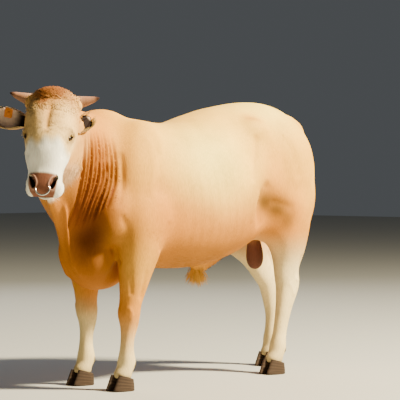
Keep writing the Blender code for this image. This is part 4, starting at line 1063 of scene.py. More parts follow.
def painted_material(name, **values):
    """A material whose colour is the marking stored on the points."""
    made, tree, shader = start_material(name, **values)
    colour = node(tree, "ShaderNodeAttribute", {"attribute_name": "marking"})
    tree.links.new(colour.outputs["Color"], shader.inputs["Base Color"])
    return made


WET_EYE = painted_material("wet eye", Roughness=0.30, Specular_IOR_Level=0.3, Coat_Weight=0.4,
                           Coat_Roughness=0.05)
for eye_side, sign in SIDES.items():
    finish_piece(eyeball(f"eyeball_{eye_side}", sign), WET_EYE, f"eye_{eye_side}", f"eye_{eye_side}")

# %% [markdown]
# ## Lids
# The lids are thick rims of hide that lie on the ball and meet in an almond, with dark bare skin along
# their edge and a crease above. Each pair is one ring-shaped surface: it starts inside the slit, rolls
# over the rim, and spreads out over the brow and cheek until it sinks into the skin. Where it crosses the
# skin is found by rays.

# %% Lids and sockets
SLIT_HALF_LENGTH, SLIT_HALF_HEIGHT = 0.0190, 0.0100
LID_REACH = (0.040, 0.032)  # half sizes of the oval where the lids sink into the skin
LID_BLEND, LID_SINK = 0.004, 0.0035
SOCKET_HALF = (0.027, 0.019)  # half sizes of the hole that the skin leaves over the ball
BALL_EDGE = 0.02  # beyond this distance from the look's line the lids leave the ball
LID_RIM = linear("#2e1d16")


def lids(name, side, tree):
    """Point at turn a and spread s, from the almond's edge at s = 0 to an oval round the socket at s = 1.
    Its height is the greater of the skin below and the ball plus the lid, and sinks under the skin at 1."""
    centre, axes = eye_frame(side)
    a = np.linspace(0, 2 * math.pi, 72, endpoint=False)[None, :]
    s = np.array([0, 0.02, 0.05, 0.10, 0.17, 0.25, 0.34, 0.44, 0.56, 0.70, 0.85, 1.0])[:, None]
    corner = np.abs(np.sin(a)) ** 1.25 * np.sign(np.sin(a))
    height = np.where(corner > 0, SLIT_HALF_HEIGHT, SLIT_HALF_HEIGHT * 0.8)
    u = SLIT_HALF_LENGTH * np.cos(a) * (1 - s) + LID_REACH[0] * np.cos(a) * s
    v = height * corner * (1 - s) + LID_REACH[1] * np.sin(a) * s
    flat = np.stack([u, v, np.zeros_like(u)], axis=-1).reshape(-1, 3)
    start = centre + (flat + (0, 0, 0.08)) @ axes.T
    out = Vector(axes[:, 2])
    below = np.array([(tree.ray_cast(Vector(p), -out)[0] - Vector(centre)).dot(out) for p in start])
    below = below.reshape(u.shape)
    reach = np.hypot(u, v)
    lid = np.interp(s, [0, 0.02, 0.05, 0.10, 0.17], [0.0006, 0.0022, 0.0038, 0.0048, 0.0052])
    over = np.sqrt(np.maximum((EYE_RADIUS + lid) ** 2 - np.minimum(reach, BALL_EDGE) ** 2, 0))
    over = over - np.maximum(reach - BALL_EDGE, 0) * 1.6
    crease = 0.0016 * np.exp(-((s - 0.30) / 0.06) ** 2) * smoothstep(np.sin(a), -0.2, 0.5)
    w = 0.5 * (over + below + np.sqrt((over - below) ** 2 + LID_BLEND ** 2)) - crease
    near = smoothstep(s, 0.25, 0.10)
    w = w * (1 - near) + over * near
    w = w - LID_SINK * smoothstep(s, 0.80, 1.0)
    local = np.stack([u, v, w], axis=-1)
    obj = new_piece(name, centre + local.reshape(-1, 3) @ axes.T, grid_faces(*u.shape))
    dark = smoothstep(s, 0.16, 0.04) * np.ones_like(a)
    shade = 0.55 * np.exp(-((s - 0.2) / 0.12) ** 2) * np.ones_like(a)
    colour = marking(coordinates(obj))
    colour = mixed(colour, LID_RIM, 0.5 * shade.ravel())
    paint(obj, mixed(colour, LID_RIM, dark.ravel()))
    return obj


def sink_socket(side):
    """Pushes the skin inside the ball wherever it would cover the slit."""
    centre, axes = eye_frame(side)
    points = coordinates(skin)
    local = (points - centre) @ axes
    oval = np.hypot(local[:, 0] / SOCKET_HALF[0], local[:, 1] / SOCKET_HALF[1]) < 1
    near = oval & (local[:, 2] > 0) & (local[:, 2] < SOCKET_REACH)
    depth = np.sqrt(np.maximum((EYE_RADIUS * 0.9) ** 2 - (local[:, :2] ** 2).sum(axis=1), 1e-6))
    local[near, 2] = np.minimum(local[near, 2], depth[near] * 0.9)
    points[near] = centre + local[near] @ axes.T
    move_to(skin, points)


tree = BVHTree.FromObject(skin, bpy.context.evaluated_depsgraph_get())
for eye_side, sign in SIDES.items():
    finish_piece(lids(f"lids_{eye_side}", sign, tree), SHORT_COAT, "head")
for sign in SIDES.values():
    sink_socket(sign)

# %% [markdown]
# ## Horns
# Short young horns: thick and rough at the root, where growth rings stand up, then smoother to a blunt
# dark tip. The horn is an oval carried along a bent line, with a small ripple along it for the rings.

# %% Horns
HORN_ROOT, HORN_TIP = np.array((0.092, 0.014, -0.050)), np.array((0.222, 0.040, -0.030))
HORN_BASE, HORN_MIDDLE, HORN_POINT = linear("#b88c68"), linear("#a5765a"), linear("#3a2620")


def horn(name, side):
    """Radius(t) is a taper with a ripple, carried along root to tip, bowed a little forward and down."""
    t = np.linspace(0, 1, 60)
    line = HORN_ROOT + (HORN_TIP - HORN_ROOT) * t[:, None] + np.outer(t * t - t, (0, 0.012, 0.010))
    radius = np.interp(t, [0, 0.3, 0.55, 0.8, 0.95, 1], [0.034, 0.030, 0.0235, 0.0150, 0.0075, 0.0030])
    ripple = 0.0007 * np.sin(t * 75) * smoothstep(t, 0.65, 0.1)
    wide = radius + ripple
    rows = np.column_stack([line * (side, 1, 1), wide, wide * 0.92, wide * 0.92])
    vertices, faces = carried_oval(rows, across=(0, 1, 0), ring=36, steps=1)
    obj = outwards(new_piece(name, from_head(vertices), faces))
    span = HORN_TIP - HORN_ROOT
    along = (vertices * (side, 1, 1) - HORN_ROOT) @ span / (span ** 2).sum()
    colour = mixed(np.broadcast_to(HORN_BASE, vertices.shape), HORN_MIDDLE, smoothstep(along, 0.1, 0.6))
    paint(obj, mixed(colour, HORN_POINT, smoothstep(along, 0.72, 0.98)))
    return obj


HORN = coat_material("horn keratin", 0.42, 0.0006, stretch=(1, 1, 1))
for horn_side, sign in SIDES.items():
    finish_piece(horn(f"grown_horn_{horn_side}", sign), HORN, f"horn_{horn_side}", f"horn_{horn_side}")

# %% [markdown]
# ## Ears and tag
# An ear is a cupped leaf of gristle: narrow at its root, widest before the middle, with a rounded tip,
# pale and short-haired outside and dark and bare inside. The leaf is one closed surface of two
# parameters, along the ear and round its section, and the colour changes where the surface turns into the
# cup.

# %% Ears
EAR_ROOT = {1: np.array((0.118, -0.125, -0.095)), -1: np.array((-0.112, -0.080, -0.105))}
EAR_LENGTH = {1: 0.140, -1: 0.205}
EAR_WIDTH, EAR_THICKNESS = {1: 0.042, -1: 0.056}, 0.007
EAR_SWEEP = {1: math.radians(62), -1: math.radians(12)}  # how far back each ear is laid
EAR_LIFT = {1: math.radians(34), -1: math.radians(8)}
EAR_TURN = {1: math.radians(32), -1: 0.0}  # how far each cup is turned to face ahead
# The pale inside near the rims is lightened further as painted light.
EAR_DARK, EAR_PALE_AND_LIT, EAR_BACK = linear("#1e0f09"), linear("#ffdcc0"), linear("#d9a460")
EAR_SPREAD = math.radians(104)
# The two ears differ as painted light: the right ear's inside turns pale from nearer its root, where its
# outer half is lit.
EAR_PALE_FROM = {1: (0.86, 1.0), -1: (0.24, 0.52)}  # the share of the length where the dark inside turns pale
EAR_STATIONS, EAR_COLUMNS = 40, 29  # of its grid, along it and round each of its two faces
TAG_SIZE, TAG_PLACE = (0.042, 0.0026, 0.048), np.array((0.125, 0.004, 0.024))
TAG_GAP, LEAF_LEAST = 0.0025, 0.003  # behind the tag, and the leaf's least thickness there


def ear_frame(side):
    """The ear's root, and its axes as columns: to the tip, behind the cup, and to the upper edge."""
    turn = np.array((Matrix.Rotation(HEAD_YAW, 3, "Z") @ Matrix.Rotation(HEAD_ROLL, 3, "Y")))
    sweep, lift = EAR_SWEEP[side], EAR_LIFT[side]
    level = math.cos(lift)
    along = np.array((side * math.cos(sweep) * level, math.sin(sweep) * level, math.sin(lift)))
    behind = np.array((-side * math.sin(sweep), math.cos(sweep), 0))
    above = np.cross(along, behind) * side
    turned = EAR_TURN[side]
    behind, above = (behind * math.cos(turned) - above * math.sin(turned),
                     above * math.cos(turned) + behind * math.sin(turned))
    return from_head(EAR_ROOT[side]), turn @ np.stack([along, behind, above], axis=1)


def ear_leaf(side, s, a):
    """Place along the ear, behind its cup and up it, of its outer face, with its thickness and half width."""
    outline = np.interp(s, [0, 0.12, 0.3, 0.5, 0.7, 0.86, 0.96, 1],
                        [0.50, 0.58, 0.86, 1, 0.90, 0.62, 0.30, 0.08])
    width = EAR_WIDTH[side] * outline
    depth = EAR_WIDTH[side] * np.interp(s, [0, 0.3, 0.6, 1], [0.62, 0.62, 0.42, 0.12])
    thick = EAR_THICKNESS * np.interp(s, [0, 0.5, 1], [1.3, 0.9, 0.4])
    behind = depth * (np.cos(a) - 0.45)
    return np.broadcast_to(s * EAR_LENGTH[side], behind.shape), behind, width * np.sin(a), thick, width


def ear(name, side):
    """At s along the ear and angle a round it: behind = depth(s) (cos a - 0.45), height = width(s) sin a,
    once for the outer face and back again for the inner face, moved in by the leaf's thickness."""
    s = np.linspace(0, 1, EAR_STATIONS)[:, None]
    a = np.linspace(-1, 1, EAR_COLUMNS)[None, :] * EAR_SPREAD
    along, behind, height, thick, width = ear_leaf(side, s, a)
    ridges = 0.0016 * np.sin(a * 9) * np.sin(math.pi * s)
    shrink = 1 - thick / width * (0.45 + 0.4 * np.cos(a))
    hollow = behind - thick * np.maximum(np.cos(a), 0.25) + ridges
    if side < 0:
        under = smoothstep(np.abs(along - TAG_PLACE[0]), 0.030, 0.023)
        under = under * smoothstep(np.abs(height - TAG_PLACE[2]), 0.034, 0.026)
        hollow = hollow + under * np.maximum(TAG_PLACE[1] + TAG_GAP - hollow, 0)
        behind = np.maximum(behind, hollow + LEAF_LEAST)
    outer = np.stack([along, behind, height], axis=-1)
    inner = np.stack([along, hollow, height * shrink], axis=-1)
    loop = np.concatenate([outer, inner[:, ::-1]], axis=1)
    vertices, faces = closed_tube(loop)
    root, axes = ear_frame(side)
    obj = outwards(new_piece(name, root + vertices @ axes.T, faces))
    inside = np.concatenate([np.zeros(EAR_COLUMNS), np.ones(EAR_COLUMNS)])
    edge = np.abs(np.concatenate([a[0], a[0, ::-1]])) / EAR_SPREAD
    dark = np.broadcast_to(inside * smoothstep(edge, 1.0, 0.86), loop.shape[:2]).ravel()
    tip = np.broadcast_to(smoothstep(s, *EAR_PALE_FROM[side]), loop.shape[:2]).ravel()
    dark = np.append(dark * (1 - 0.85 * tip), (0, 0))
    pale = np.append(np.tile(inside, EAR_STATIONS), (0, 0))
    colour = mixed(np.broadcast_to(EAR_BACK, vertices.shape), EAR_PALE_AND_LIT, pale)
    paint(obj, mixed(colour, EAR_DARK, dark))
    return obj


for ear_side, sign in SIDES.items():
    finish_piece(ear(f"cupped_ear_{ear_side}", sign), SHORT_COAT, f"ear_{ear_side}", f"ear_{ear_side}")

# %% [markdown]
# ## Claws
# Cattle walk on two claws a foot. Each is a horn wall that leans forward, with growth lines parallel to
# the coronet and a flat sole. The wall is a rounded D carried from the sole up to the sloping coronet.

# %% Claws
CORONET_FRONT, CORONET_SLOPE = 0.082, 0.28
CLAW_HALF_WIDTH, CLAW_SPACING = 0.0275, 0.0305
CLAW_DARK, CLAW_BAND = linear("#3a2f27"), linear("#6b5848")


def claw(name, end, side, inner):
    """At level l and angle a: x = width cos a, squared off, flatter on the inner side; y reaches ahead or
    back by the angle's sine; z = l times the coronet's height there. Shallow grooves ring the wall."""
    rows = LEGS[(end, "left" if side > 0 else "right")]
    place = np.array((rows[-1, 0], rows[-1, 1], 0)) + SHIFT * (1, 1, 0)
    toward = inner * side
    a = np.linspace(0, 2 * math.pi, 44, endpoint=False)[None, :]
    level = np.array([0, 0.02, 0.06, 0.12, 0.2, 0.3, 0.4, 0.5, 0.6, 0.7, 0.8, 0.9, 0.97, 1.02])[:, None]
    spread = np.interp(level, [0, 0.05, 0.5, 1], [0.95, 1, 0.97, 0.88])
    ahead = np.interp(level, [0, 0.06, 0.5, 1], [0.084, 0.090, 0.070, 0.050])
    back = np.interp(level, [0, 0.06, 0.5, 1], [0.043, 0.047, 0.046, 0.042])
    wide, long = np.cos(a), np.sin(a)
    groove = 1 - 0.010 * (0.5 + 0.5 * np.sin(level * 40))
    x = CLAW_HALF_WIDTH * spread * groove * np.sign(wide) * np.abs(wide) ** 0.8
    x = np.where(wide * toward > 0, x * 0.86, x)
    y = np.where(long < 0, ahead, back) * groove * np.sign(long) * np.abs(long) ** 0.9
    front = np.clip(-y / ahead, 0, 1) ** 2
    x = x * (1 - 0.30 * front) - toward * CLAW_SPACING + toward * 0.004 * front
    z = level * (CORONET_FRONT - CORONET_SLOPE * (y + 0.052))
    vertices, faces = closed_tube(np.stack([x, y, z], axis=-1))
    obj = outwards(new_piece(name, place + vertices, faces))
    bands = 0.5 + 0.5 * np.sin(vertices[:, 2] * 420 + vertices[:, 1] * 60)
    paint(obj, mixed(np.broadcast_to(CLAW_DARK, vertices.shape), CLAW_BAND, 0.35 * bands))
    return obj


CLAW_HORN = coat_material("claw horn", 0.48, 0.0008, stretch=(1, 1, 6))
for end, foot_side in LEGS:
    for half, inner in (("inner", 1), ("outer", -1)):
        cad = f"claw_{end}_{foot_side}_{half}"
        finish_piece(claw(f"walled_{cad}", end, SIDES[foot_side], inner), CLAW_HORN, cad, cad)

# %% [markdown]
# ## Nose ring
# The ring is a rod of polished steel bent to a circle through the gristle of the nose. It swells a little
# at the knuckle of its hinge.

# %% Ring
RING_TOP = np.array((0.002, -0.450, -0.044))
RING_RADIUS, RING_THICKNESS, RING_TILT = 0.034, 0.0042, 0.50
RING_STEPS, ROD_STEPS = 96, 20


def plain_material(name, hexcode, **values):
    """A material of one colour."""
    made, _, shader = start_material(name, **values)
    shader.inputs["Base Color"].default_value = (*linear(hexcode), 1)
    return made


def nose_ring(name):
    """A torus: centre + (R + r cos b) (across cos a + down sin a) + r sin b times their normal."""
    turn = HEAD[:3, :3]
    down = np.array((math.sin(HEAD_YAW) * RING_TILT, -math.cos(HEAD_YAW) * RING_TILT, -1))
    down /= np.linalg.norm(down)
    across = turn @ np.array((1.0, 0, 0))
    across -= down * (across @ down)
    across /= np.linalg.norm(across)
    a = np.linspace(0, 2 * math.pi, RING_STEPS, endpoint=False)[:, None, None]
    b = np.linspace(0, 2 * math.pi, ROD_STEPS, endpoint=False)[None, :, None]
    knuckle = 1 + 0.10 * np.exp(-((a - math.pi / 2) / 0.05) ** 2)
    out = across * np.cos(a) + down * np.sin(a)
    centre = from_head(RING_TOP) + down * RING_RADIUS
    points = centre + out * (RING_RADIUS + RING_THICKNESS * knuckle * np.cos(b))
    points = points + np.cross(across, down) * RING_THICKNESS * knuckle * np.sin(b)
    faces = grid_faces(RING_STEPS + 1, ROD_STEPS) % (RING_STEPS * ROD_STEPS)
    return outwards(new_piece(name, points.reshape(-1, 3), faces))


STEEL = plain_material("polished steel", "#d8d5cc", Metallic=1.0, Roughness=0.24)
finish_piece(nose_ring("hinged_nose_ring"), STEEL, "nose_ring", "nose_ring")

# %% [markdown]
# ## Ear tag
# The tag is a plain plate of soft plastic with rounded corners, held by a pin with a button behind the
# ear.

# %% Ear tag
TAG_SQUARENESS = 7
# The pin's half thickness at each distance behind the plate, from its head to the button.
TAG_PIN = ((-0.004, 0.002), (-0.003, 0.008), (-0.001, 0.009), (0.0, 0.003), (0.015, 0.003), (0.016, 0.0105),
           (0.018, 0.0105), (0.0185, 0.002))


def tag_plate(name, side):
    """A rounded rectangle: x and z are half sizes times a seventh-power circle, stacked through the
    thickness with its edges eased, plus the pin and button behind."""
    a = np.linspace(0, 2 * math.pi, 64, endpoint=False)[None, :]
    power = 2 / TAG_SQUARENESS
    layer = np.array([-0.5, -0.5, -0.3, 0.3, 0.5, 0.5])[:, None]
    scale = np.array([0.02, 0.96, 1, 1, 0.96, 0.02])[:, None]
    x = TAG_SIZE[0] / 2 * scale * np.sign(np.cos(a)) * np.abs(np.cos(a)) ** power
    z = TAG_SIZE[2] / 2 * scale * np.sign(np.sin(a)) * np.abs(np.sin(a)) ** power
    plate = closed_tube(np.stack([x, layer * TAG_SIZE[1] * np.ones_like(a), z], axis=-1) + TAG_PLACE)
    pin = [(TAG_PLACE[0], TAG_PLACE[1] + y, TAG_PLACE[2], r, r, r) for y, r in TAG_PIN]
    vertices, faces = joined([plate, carried_oval(pin, ring=24, steps=1)])
    root, axes = ear_frame(side)
    return outwards(new_piece(name, root + vertices @ axes.T, faces))


TAG = plain_material("soft moulded polyurethane", "#ee8a1e", Roughness=0.46)
finish_piece(tag_plate("plain_ear_tag", -1), TAG, "ear_tag", "ear_tag")

# %% [markdown]
# ## Tufts
# Where the coat breaks the outline it is made as tufts: thin three-sided blades that start under the
# skin, rise, bend down along the lie and end in a point. All the tufts of a coat are one mesh worked out
# from whole arrays: a root, a heading, a length and a curl for each, and a few levels along it.

# %% Tuft maker
def tuft_faces(count, levels):
    """Triangles of many three-sided tufts: their walls and both of their ends."""
    i = np.arange(levels - 1)[:, None] * 3
    k = np.arange(3)[None, :]
    walls = np.stack([i + k, i + (k + 1) % 3, i + 3 + (k + 1) % 3, i + 3 + k], axis=-1).reshape(-1, 4)
    last = (levels - 1) * 3
    ends = [[2, 1, 0]], [[last, last + 1, last + 2]]
    triangles = np.concatenate([walls[:, [0, 1, 2]], walls[:, [0, 2, 3]], *ends])
    return (np.arange(count)[:, None, None] * levels * 3 + triangles).reshape(-1, 3)


def tuft_mesh(name, roots, normals, lie, length, width, rise, bend, curl, generator, levels=5, colour=None):
    """At level t of a tuft the heading is (lie cos c + side sin c) cos h + normal sin h, where h is
    rise - bend t and c is curl t. The centre line is the running sum of headings, and the section is a
    triangle that narrows to a point. The shading normals lean toward the skin's, least where the hair
    curls. Every measure from length to curl may be one number or one per tuft."""
    count = len(roots)
    lie = lie - normals * (lie * normals).sum(axis=1, keepdims=True)
    lie /= np.linalg.norm(lie, axis=1, keepdims=True) + 1e-9
    side = np.cross(normals, lie)
    one = np.ones(count)
    length, width, rise, bend, curl = (np.asarray(v, float) * one for v in (length, width, rise, bend, curl))
    t = np.linspace(0, 1, levels)
    pitch = rise[:, None] - bend[:, None] * t
    yaw = curl[:, None] * t
    ahead = lie[:, None] * np.cos(yaw)[..., None] + side[:, None] * np.sin(yaw)[..., None]
    heading = ahead * np.cos(pitch)[..., None] + normals[:, None] * np.sin(pitch)[..., None]
    step = (length / (levels - 1))[:, None, None]
    middle = (heading[:, :-1] + heading[:, 1:]) / 2 * step
    line = roots[:, None] + np.concatenate([np.zeros((count, 1, 3)), np.cumsum(middle, axis=1)], axis=1)
    line = line - (normals * (0.25 * width + 0.0015)[:, None])[:, None]
    out = np.cross(heading, np.cross(normals[:, None], heading))
    out /= np.linalg.norm(out, axis=2, keepdims=True) + 1e-9
    across = np.cross(heading, out)
    taper = np.interp(t, [0, 0.35, 0.7, 1], [0.75, 1.0, 0.72, 0.04])[None, :] * width[:, None] / 2
    corners = np.stack([line + across * taper[..., None], line - across * taper[..., None],
                        line + out * (0.40 * taper)[..., None]], axis=2)
    obj = new_piece(name, corners.reshape(-1, 3), tuft_faces(count, levels))
    own = (0.3 + 0.5 * np.clip(np.abs(curl), 0, 1))[:, None, None]
    soft = own * out + (1 - own) * normals[:, None]
    soft = soft / np.linalg.norm(soft, axis=2, keepdims=True)
    obj.data.normals_split_custom_set_from_vertices(np.repeat(soft.reshape(-1, 3), 3, axis=0))
    tone = 1.0 + 0.07 * generator.uniform(-1, 1, count)
    colour = (marking(roots) if colour is None else np.broadcast_to(colour, (count, 3))) * tone[:, None]
    paint(obj, np.repeat(colour, levels * 3, axis=0))
    add_bake_map(obj, roots, levels * 3)
    return obj


# %% [markdown]
# Each tuft also has a place in a map, named OFBake, that colours can be baked into. The skin is unwrapped
# into a few panels, each a cylinder opened flat round its own part's line, and a tuft is a small patch at its
# root's place.

# %% Bake map
PATCH = 0.003  # of the map's width, for one tuft
BARREL_AXIS, LEG_TOP, LEG_REACH = 0.95, 0.62, 0.16


def skin_unwrap(points):
    """Turn round the part's line across its panel, and distance along the line up it."""
    body = points - SHIFT
    head = to_head(points)
    turn = np.arctan2(body[:, 0], body[:, 2] - BARREL_AXIS) / (2 * math.pi) + 0.5
    uv = np.stack([0.02 + 0.56 * turn, 0.02 + 0.96 * (body[:, 1] + 1.1) / 2.3], axis=1)
    for panel, rows in enumerate(LEGS.values()):
        x, y = (np.interp(-body[:, 2], -rows[:, 2], rows[:, k]) for k in (0, 1))
        on_leg = (body[:, 2] < LEG_TOP) & (np.hypot(body[:, 0] - x, body[:, 1] - y) < LEG_REACH)
        around = np.arctan2(body[:, 1] - y, body[:, 0] - x) / (2 * math.pi) + 0.5
        across, up = 0.60 + 0.095 * (panel + around * 0.95), 0.02 + 0.44 * body[:, 2] / LEG_TOP
        place = np.stack([across, up], axis=1)
        uv = np.where(on_leg[:, None], place, uv)
    around = np.arctan2(head[:, 0], head[:, 2] + 0.09) / (2 * math.pi) + 0.5
    place = np.stack([0.60 + 0.38 * around, 0.50 + 0.48 * (head[:, 1] + 0.54) / 0.72], axis=1)
    return np.clip(np.where((headness(points) > 0.5)[:, None], place, uv), 0.005, 0.995)


def add_bake_map(obj, roots, per_tuft):
    """Lays each tuft's corners in a patch round its root's place on the unwrapped skin."""
    layer = obj.data.uv_layers.new(name="OFBake")
    spots = np.repeat(skin_unwrap(roots), per_tuft, axis=0)
    k = np.tile(np.arange(per_tuft), len(roots))
    spots = spots + PATCH / 2 * np.stack([(k % 3) - 1, 2 * (k // 3) / (per_tuft / 3 - 1) - 1], axis=1)
    corners = np.empty(len(obj.data.loops), int)
    obj.data.loops.foreach_get("vertex_index", corners)
    layer.data.foreach_set("uv", spots[corners].astype(np.float32).ravel())


# %% [markdown]
# Roots are drawn on the skin's triangles, more where a zone asks for more. The lie is the way hair grows:
# back and down over the body, down the legs, and from the whorl between the eyes up to the poll and down
# to the nose.

# %% Draw roots
def skin_triangles():
    """Corner points, corner normals and areas of the skin's triangles."""
    skin.data.calc_loop_triangles()
    corners = np.empty(len(skin.data.loop_triangles) * 3, int)
    skin.data.loop_triangles.foreach_get("vertices", corners)
    corners = corners.reshape(-1, 3)
    points, normals = coordinates(skin)[corners], normals_of(skin)[corners]
    area = np.linalg.norm(np.cross(points[:, 1] - points[:, 0], points[:, 2] - points[:, 0]), axis=1) / 2
    return points, normals, area


SKIN_POINTS, SKIN_NORMALS, SKIN_AREA = skin_triangles()


def draw_roots(count, zone, generator):
    """Points and normals on the skin, as dense as zone(points) says."""
    weight = SKIN_AREA * np.clip(zone(SKIN_POINTS.mean(axis=1)), 0, None)
    picked = generator.choice(len(weight), count, p=weight / weight.sum())
    a, b = np.sqrt(generator.random(count)), generator.random(count)
    share = np.stack([1 - a, a * (1 - b), a * b], axis=1)[..., None]
    roots = (SKIN_POINTS[picked] * share).sum(axis=1)
    normals = (SKIN_NORMALS[picked] * share).sum(axis=1)
    return roots, normals / np.linalg.norm(normals, axis=1, keepdims=True)


def lie_of_hair(points):
    """The way the coat lies: back and down on the body, down on the legs, parted at the forehead's whorl."""
    body = points - SHIFT
    head = to_head(points)
    lie = np.broadcast_to((0.0, 0.75, -0.65), points.shape)
    lie = np.where((body[:, 2] < LEG_TOP)[:, None], (0.0, 0.12, -1.0), lie)
    lie = np.where((np.abs(body[:, 0]) < 0.1)[:, None] & (body[:, 2] < 0.66)[:, None], (0.0, 0.35, -1.0), lie)
    up_or_down = np.where(head[:, 1] > -0.15, 1.0, -1.0)
    face = np.stack([head[:, 0] * 3, up_or_down * 0.8, -0.25 * np.ones(len(points))], axis=1) @ HEAD[:3, :3].T
    return np.where((headness(points) > 0.5)[:, None], face, lie)


# %% [markdown]
# ## The coat, zone by zone
# The poll carries tight curls and the forehead wavy tufts. Short tufts roughen the crest, the folds of
# the neck, the brisket, the belly, the thighs and the backs of the legs, so that no outline is bare. Long
# hair hangs from the sheath, and the fetlocks carry a small feather.

# %% Curls and tufts
def bare(points):
    """1 where the skin carries no tufts: the nose, the lips, the slits of the eyes and the scrotum."""
    head = to_head(points)
    nose = smoothstep(head[:, 1], -0.40, -0.43)
    eyes = sum(ball(points, eye_frame(side)[0], 0.035) for side in SIDES.values())
    scrotum = 1.6 * ball(points - SHIFT, (0, 0.685, 0.62), (0.12, 0.10, 0.15))
    return np.clip(nose + 1.5 * eyes + scrotum, 0, 1)


def add_coat(name, slot, count, zone, length, width, rise, bend, curl, seed, levels, wander=0.35):
    """One coat piece: roots drawn by its zone, with their lengths and headings varied at random."""
    generator = np.random.default_rng(seed)
    roots, normals = draw_roots(count, lambda p: zone(p) * (1 - bare(p)), generator)
    lie = lie_of_hair(roots) + generator.normal(0, wander, roots.shape)
    size = generator.uniform(0.7, 1.2, count)
    turn = curl * generator.choice([-1, 1], count) * generator.uniform(0.6, 1.2, count)
    length, width = length * size, width * size
    obj = tuft_mesh(name, roots, normals, lie, length, width, rise, bend, turn, generator, levels)
    return finish_piece(obj, SHORT_COAT, slot)


# Each zone is 1 where its coat grows and 0 elsewhere, or between the two near its edge.
def poll_zone(points):
    head = to_head(points)
    top = smoothstep(head[:, 1], -0.120, -0.06) * smoothstep(head[:, 1], 0.10, 0.06)
    return headness(points) * top * smoothstep(np.abs(head[:, 0]), 0.128, 0.100) * (head[:, 2] > -0.12)


def forehead_zone(points):
    head = to_head(points)
    top = smoothstep(head[:, 1], -0.24, -0.18)
    return headness(points) * top * smoothstep(head[:, 1], -0.03, -0.08) * (head[:, 2] > -0.07)


def face_zone(points):
    head = to_head(points)
    return headness(points) * smoothstep(head[:, 1], -0.40, -0.36) * (head[:, 1] < -0.06)


def chin_zone(points):
    head = to_head(points)
    along = (head[:, 1] > -0.455) * (head[:, 1] < -0.20)
    return headness(points) * along * smoothstep(head[:, 2], -0.15, -0.175)


def neck_zone(points):
    body = points - SHIFT
    return (1 - headness(points)) * (body[:, 2] > 0.72) * smoothstep(body[:, 1], -0.50, -0.62)


def brisket_zone(points):
    body = points - SHIFT
    low = smoothstep(body[:, 2], 0.86, 0.72) * (body[:, 2] > 0.50)
    return (1 - headness(points)) * low * (body[:, 1] < -0.40)


def belly_zone(points):
    body = points - SHIFT
    under = smoothstep(body[:, 2], 0.72, 0.62) * (body[:, 2] > 0.50)
    return under * (body[:, 1] > -0.35) * (body[:, 1] < 0.50) * (np.abs(body[:, 0]) < 0.26)


def back_zone(points):
    body = points - SHIFT
    return (1 - headness(points)) * smoothstep(body[:, 2], 1.05, 1.30) * (body[:, 1] > -0.55)


def side_zone(points):
    body = points - SHIFT
    return (1 - headness(points)) * (body[:, 2] > 0.66) * (body[:, 2] < 1.25) * (body[:, 1] > -0.55)


def sheath_zone(points):
    body = points - SHIFT
    return ball(body, (0, 0.195, 0.565), 0.034) * (body[:, 2] < 0.60)


def leg_zone(points):
    body = points - SHIFT
    leg = (body[:, 2] < 0.66) * (body[:, 2] > 0.075) * (np.abs(body[:, 0]) > 0.09)
    return leg * (1 + 2 * smoothstep(body[:, 2], 0.16, 0.09))


# Each coat: its slot, number of tufts, zone, length, width, rise, bend and curl.
COATS = {
    "poll_curls": ("head", 4800, poll_zone, 0.036, 0.0036, 0.62, 0.95, 0.8),
    "forehead_waves": ("head", 5200, forehead_zone, 0.020, 0.0026, 0.28, 0.42, 0.5),
    "face_coat": ("head", 5200, face_zone, 0.010, 0.0022, 0.20, 0.25, 0.0),
    "chin_hair": ("head", 420, chin_zone, 0.030, 0.0022, 0.45, 0.20, 0.2),
    "neck_coat": ("neck", 8000, neck_zone, 0.020, 0.0026, 0.09, 0.16, 0.1),
    "brisket_coat": ("forequarters", 5000, brisket_zone, 0.024, 0.0034, 0.20, 0.24, 0.1),
    "belly_coat": ("barrel", 4200, belly_zone, 0.026, 0.0036, 0.28, 0.24, 0.2),
    "back_coat": ("barrel", 7000, back_zone, 0.020, 0.0034, 0.15, 0.20, 0.1),
    "side_coat": ("barrel", 9000, side_zone, 0.020, 0.0030, 0.09, 0.15, 0.1),
    "sheath_hair": ("barrel", 240, sheath_zone, 0.075, 0.0030, 1.15, 0.10, 0.1),
    "leg_coat": ("front_left_upper", 7000, leg_zone, 0.016, 0.0032, 0.22, 0.28, 0.1),
}
FIRST_SEED = 11
for seed, (name, settings) in enumerate(COATS.items(), start=FIRST_SEED):
    coat = add_coat(name, *settings, seed, levels=5 if settings[-1] > 0.4 else 4)
    print(name, len(coat.data.polygons), "triangles")

# %% [markdown]
# The ears are fringed with long pale hair that hangs from their rims, and dark lashes stand on the upper
# lids.

# %% Ear fringes and lashes
FRINGE_PALE = linear("#f0cd8c")
FRINGE_TUFTS, LASHES = 620, 80


def ear_fringe(name, side):
    """Tufts rooted on the cup's two rims, which lie toward the tip, forward and away from the middle."""
    generator = np.random.default_rng(41 + side)
    s = generator.uniform(0.04, 0.94, FRINGE_TUFTS)[:, None]
    edge = generator.choice([-1.0, 1.0], FRINGE_TUFTS, p=(0.78, 0.22))[:, None]
    a = edge * EAR_SPREAD * generator.uniform(0.93, 1.0, (FRINGE_TUFTS, 1))
    along, behind, height, _, _ = ear_leaf(side, s, a)
    root, axes = ear_frame(side)
    roots = root + np.hstack([along, behind, height]) @ axes.T
    normals = np.hstack([np.zeros_like(a), np.cos(a), np.sin(a)]) @ axes.T
    lie = generator.normal(0, 0.25, roots.shape) + np.hstack([0 * a + 0.7, 0 * a - 0.8, 0.15 * edge]) @ axes.T
    length = generator.uniform(0.016, 0.042, FRINGE_TUFTS)
    obj = tuft_mesh(name, roots, normals, lie, length, 0.0026, 0.12, -0.10, 0.0, generator,
                    colour=FRINGE_PALE)
    return finish_piece(obj, SHORT_COAT, "head")


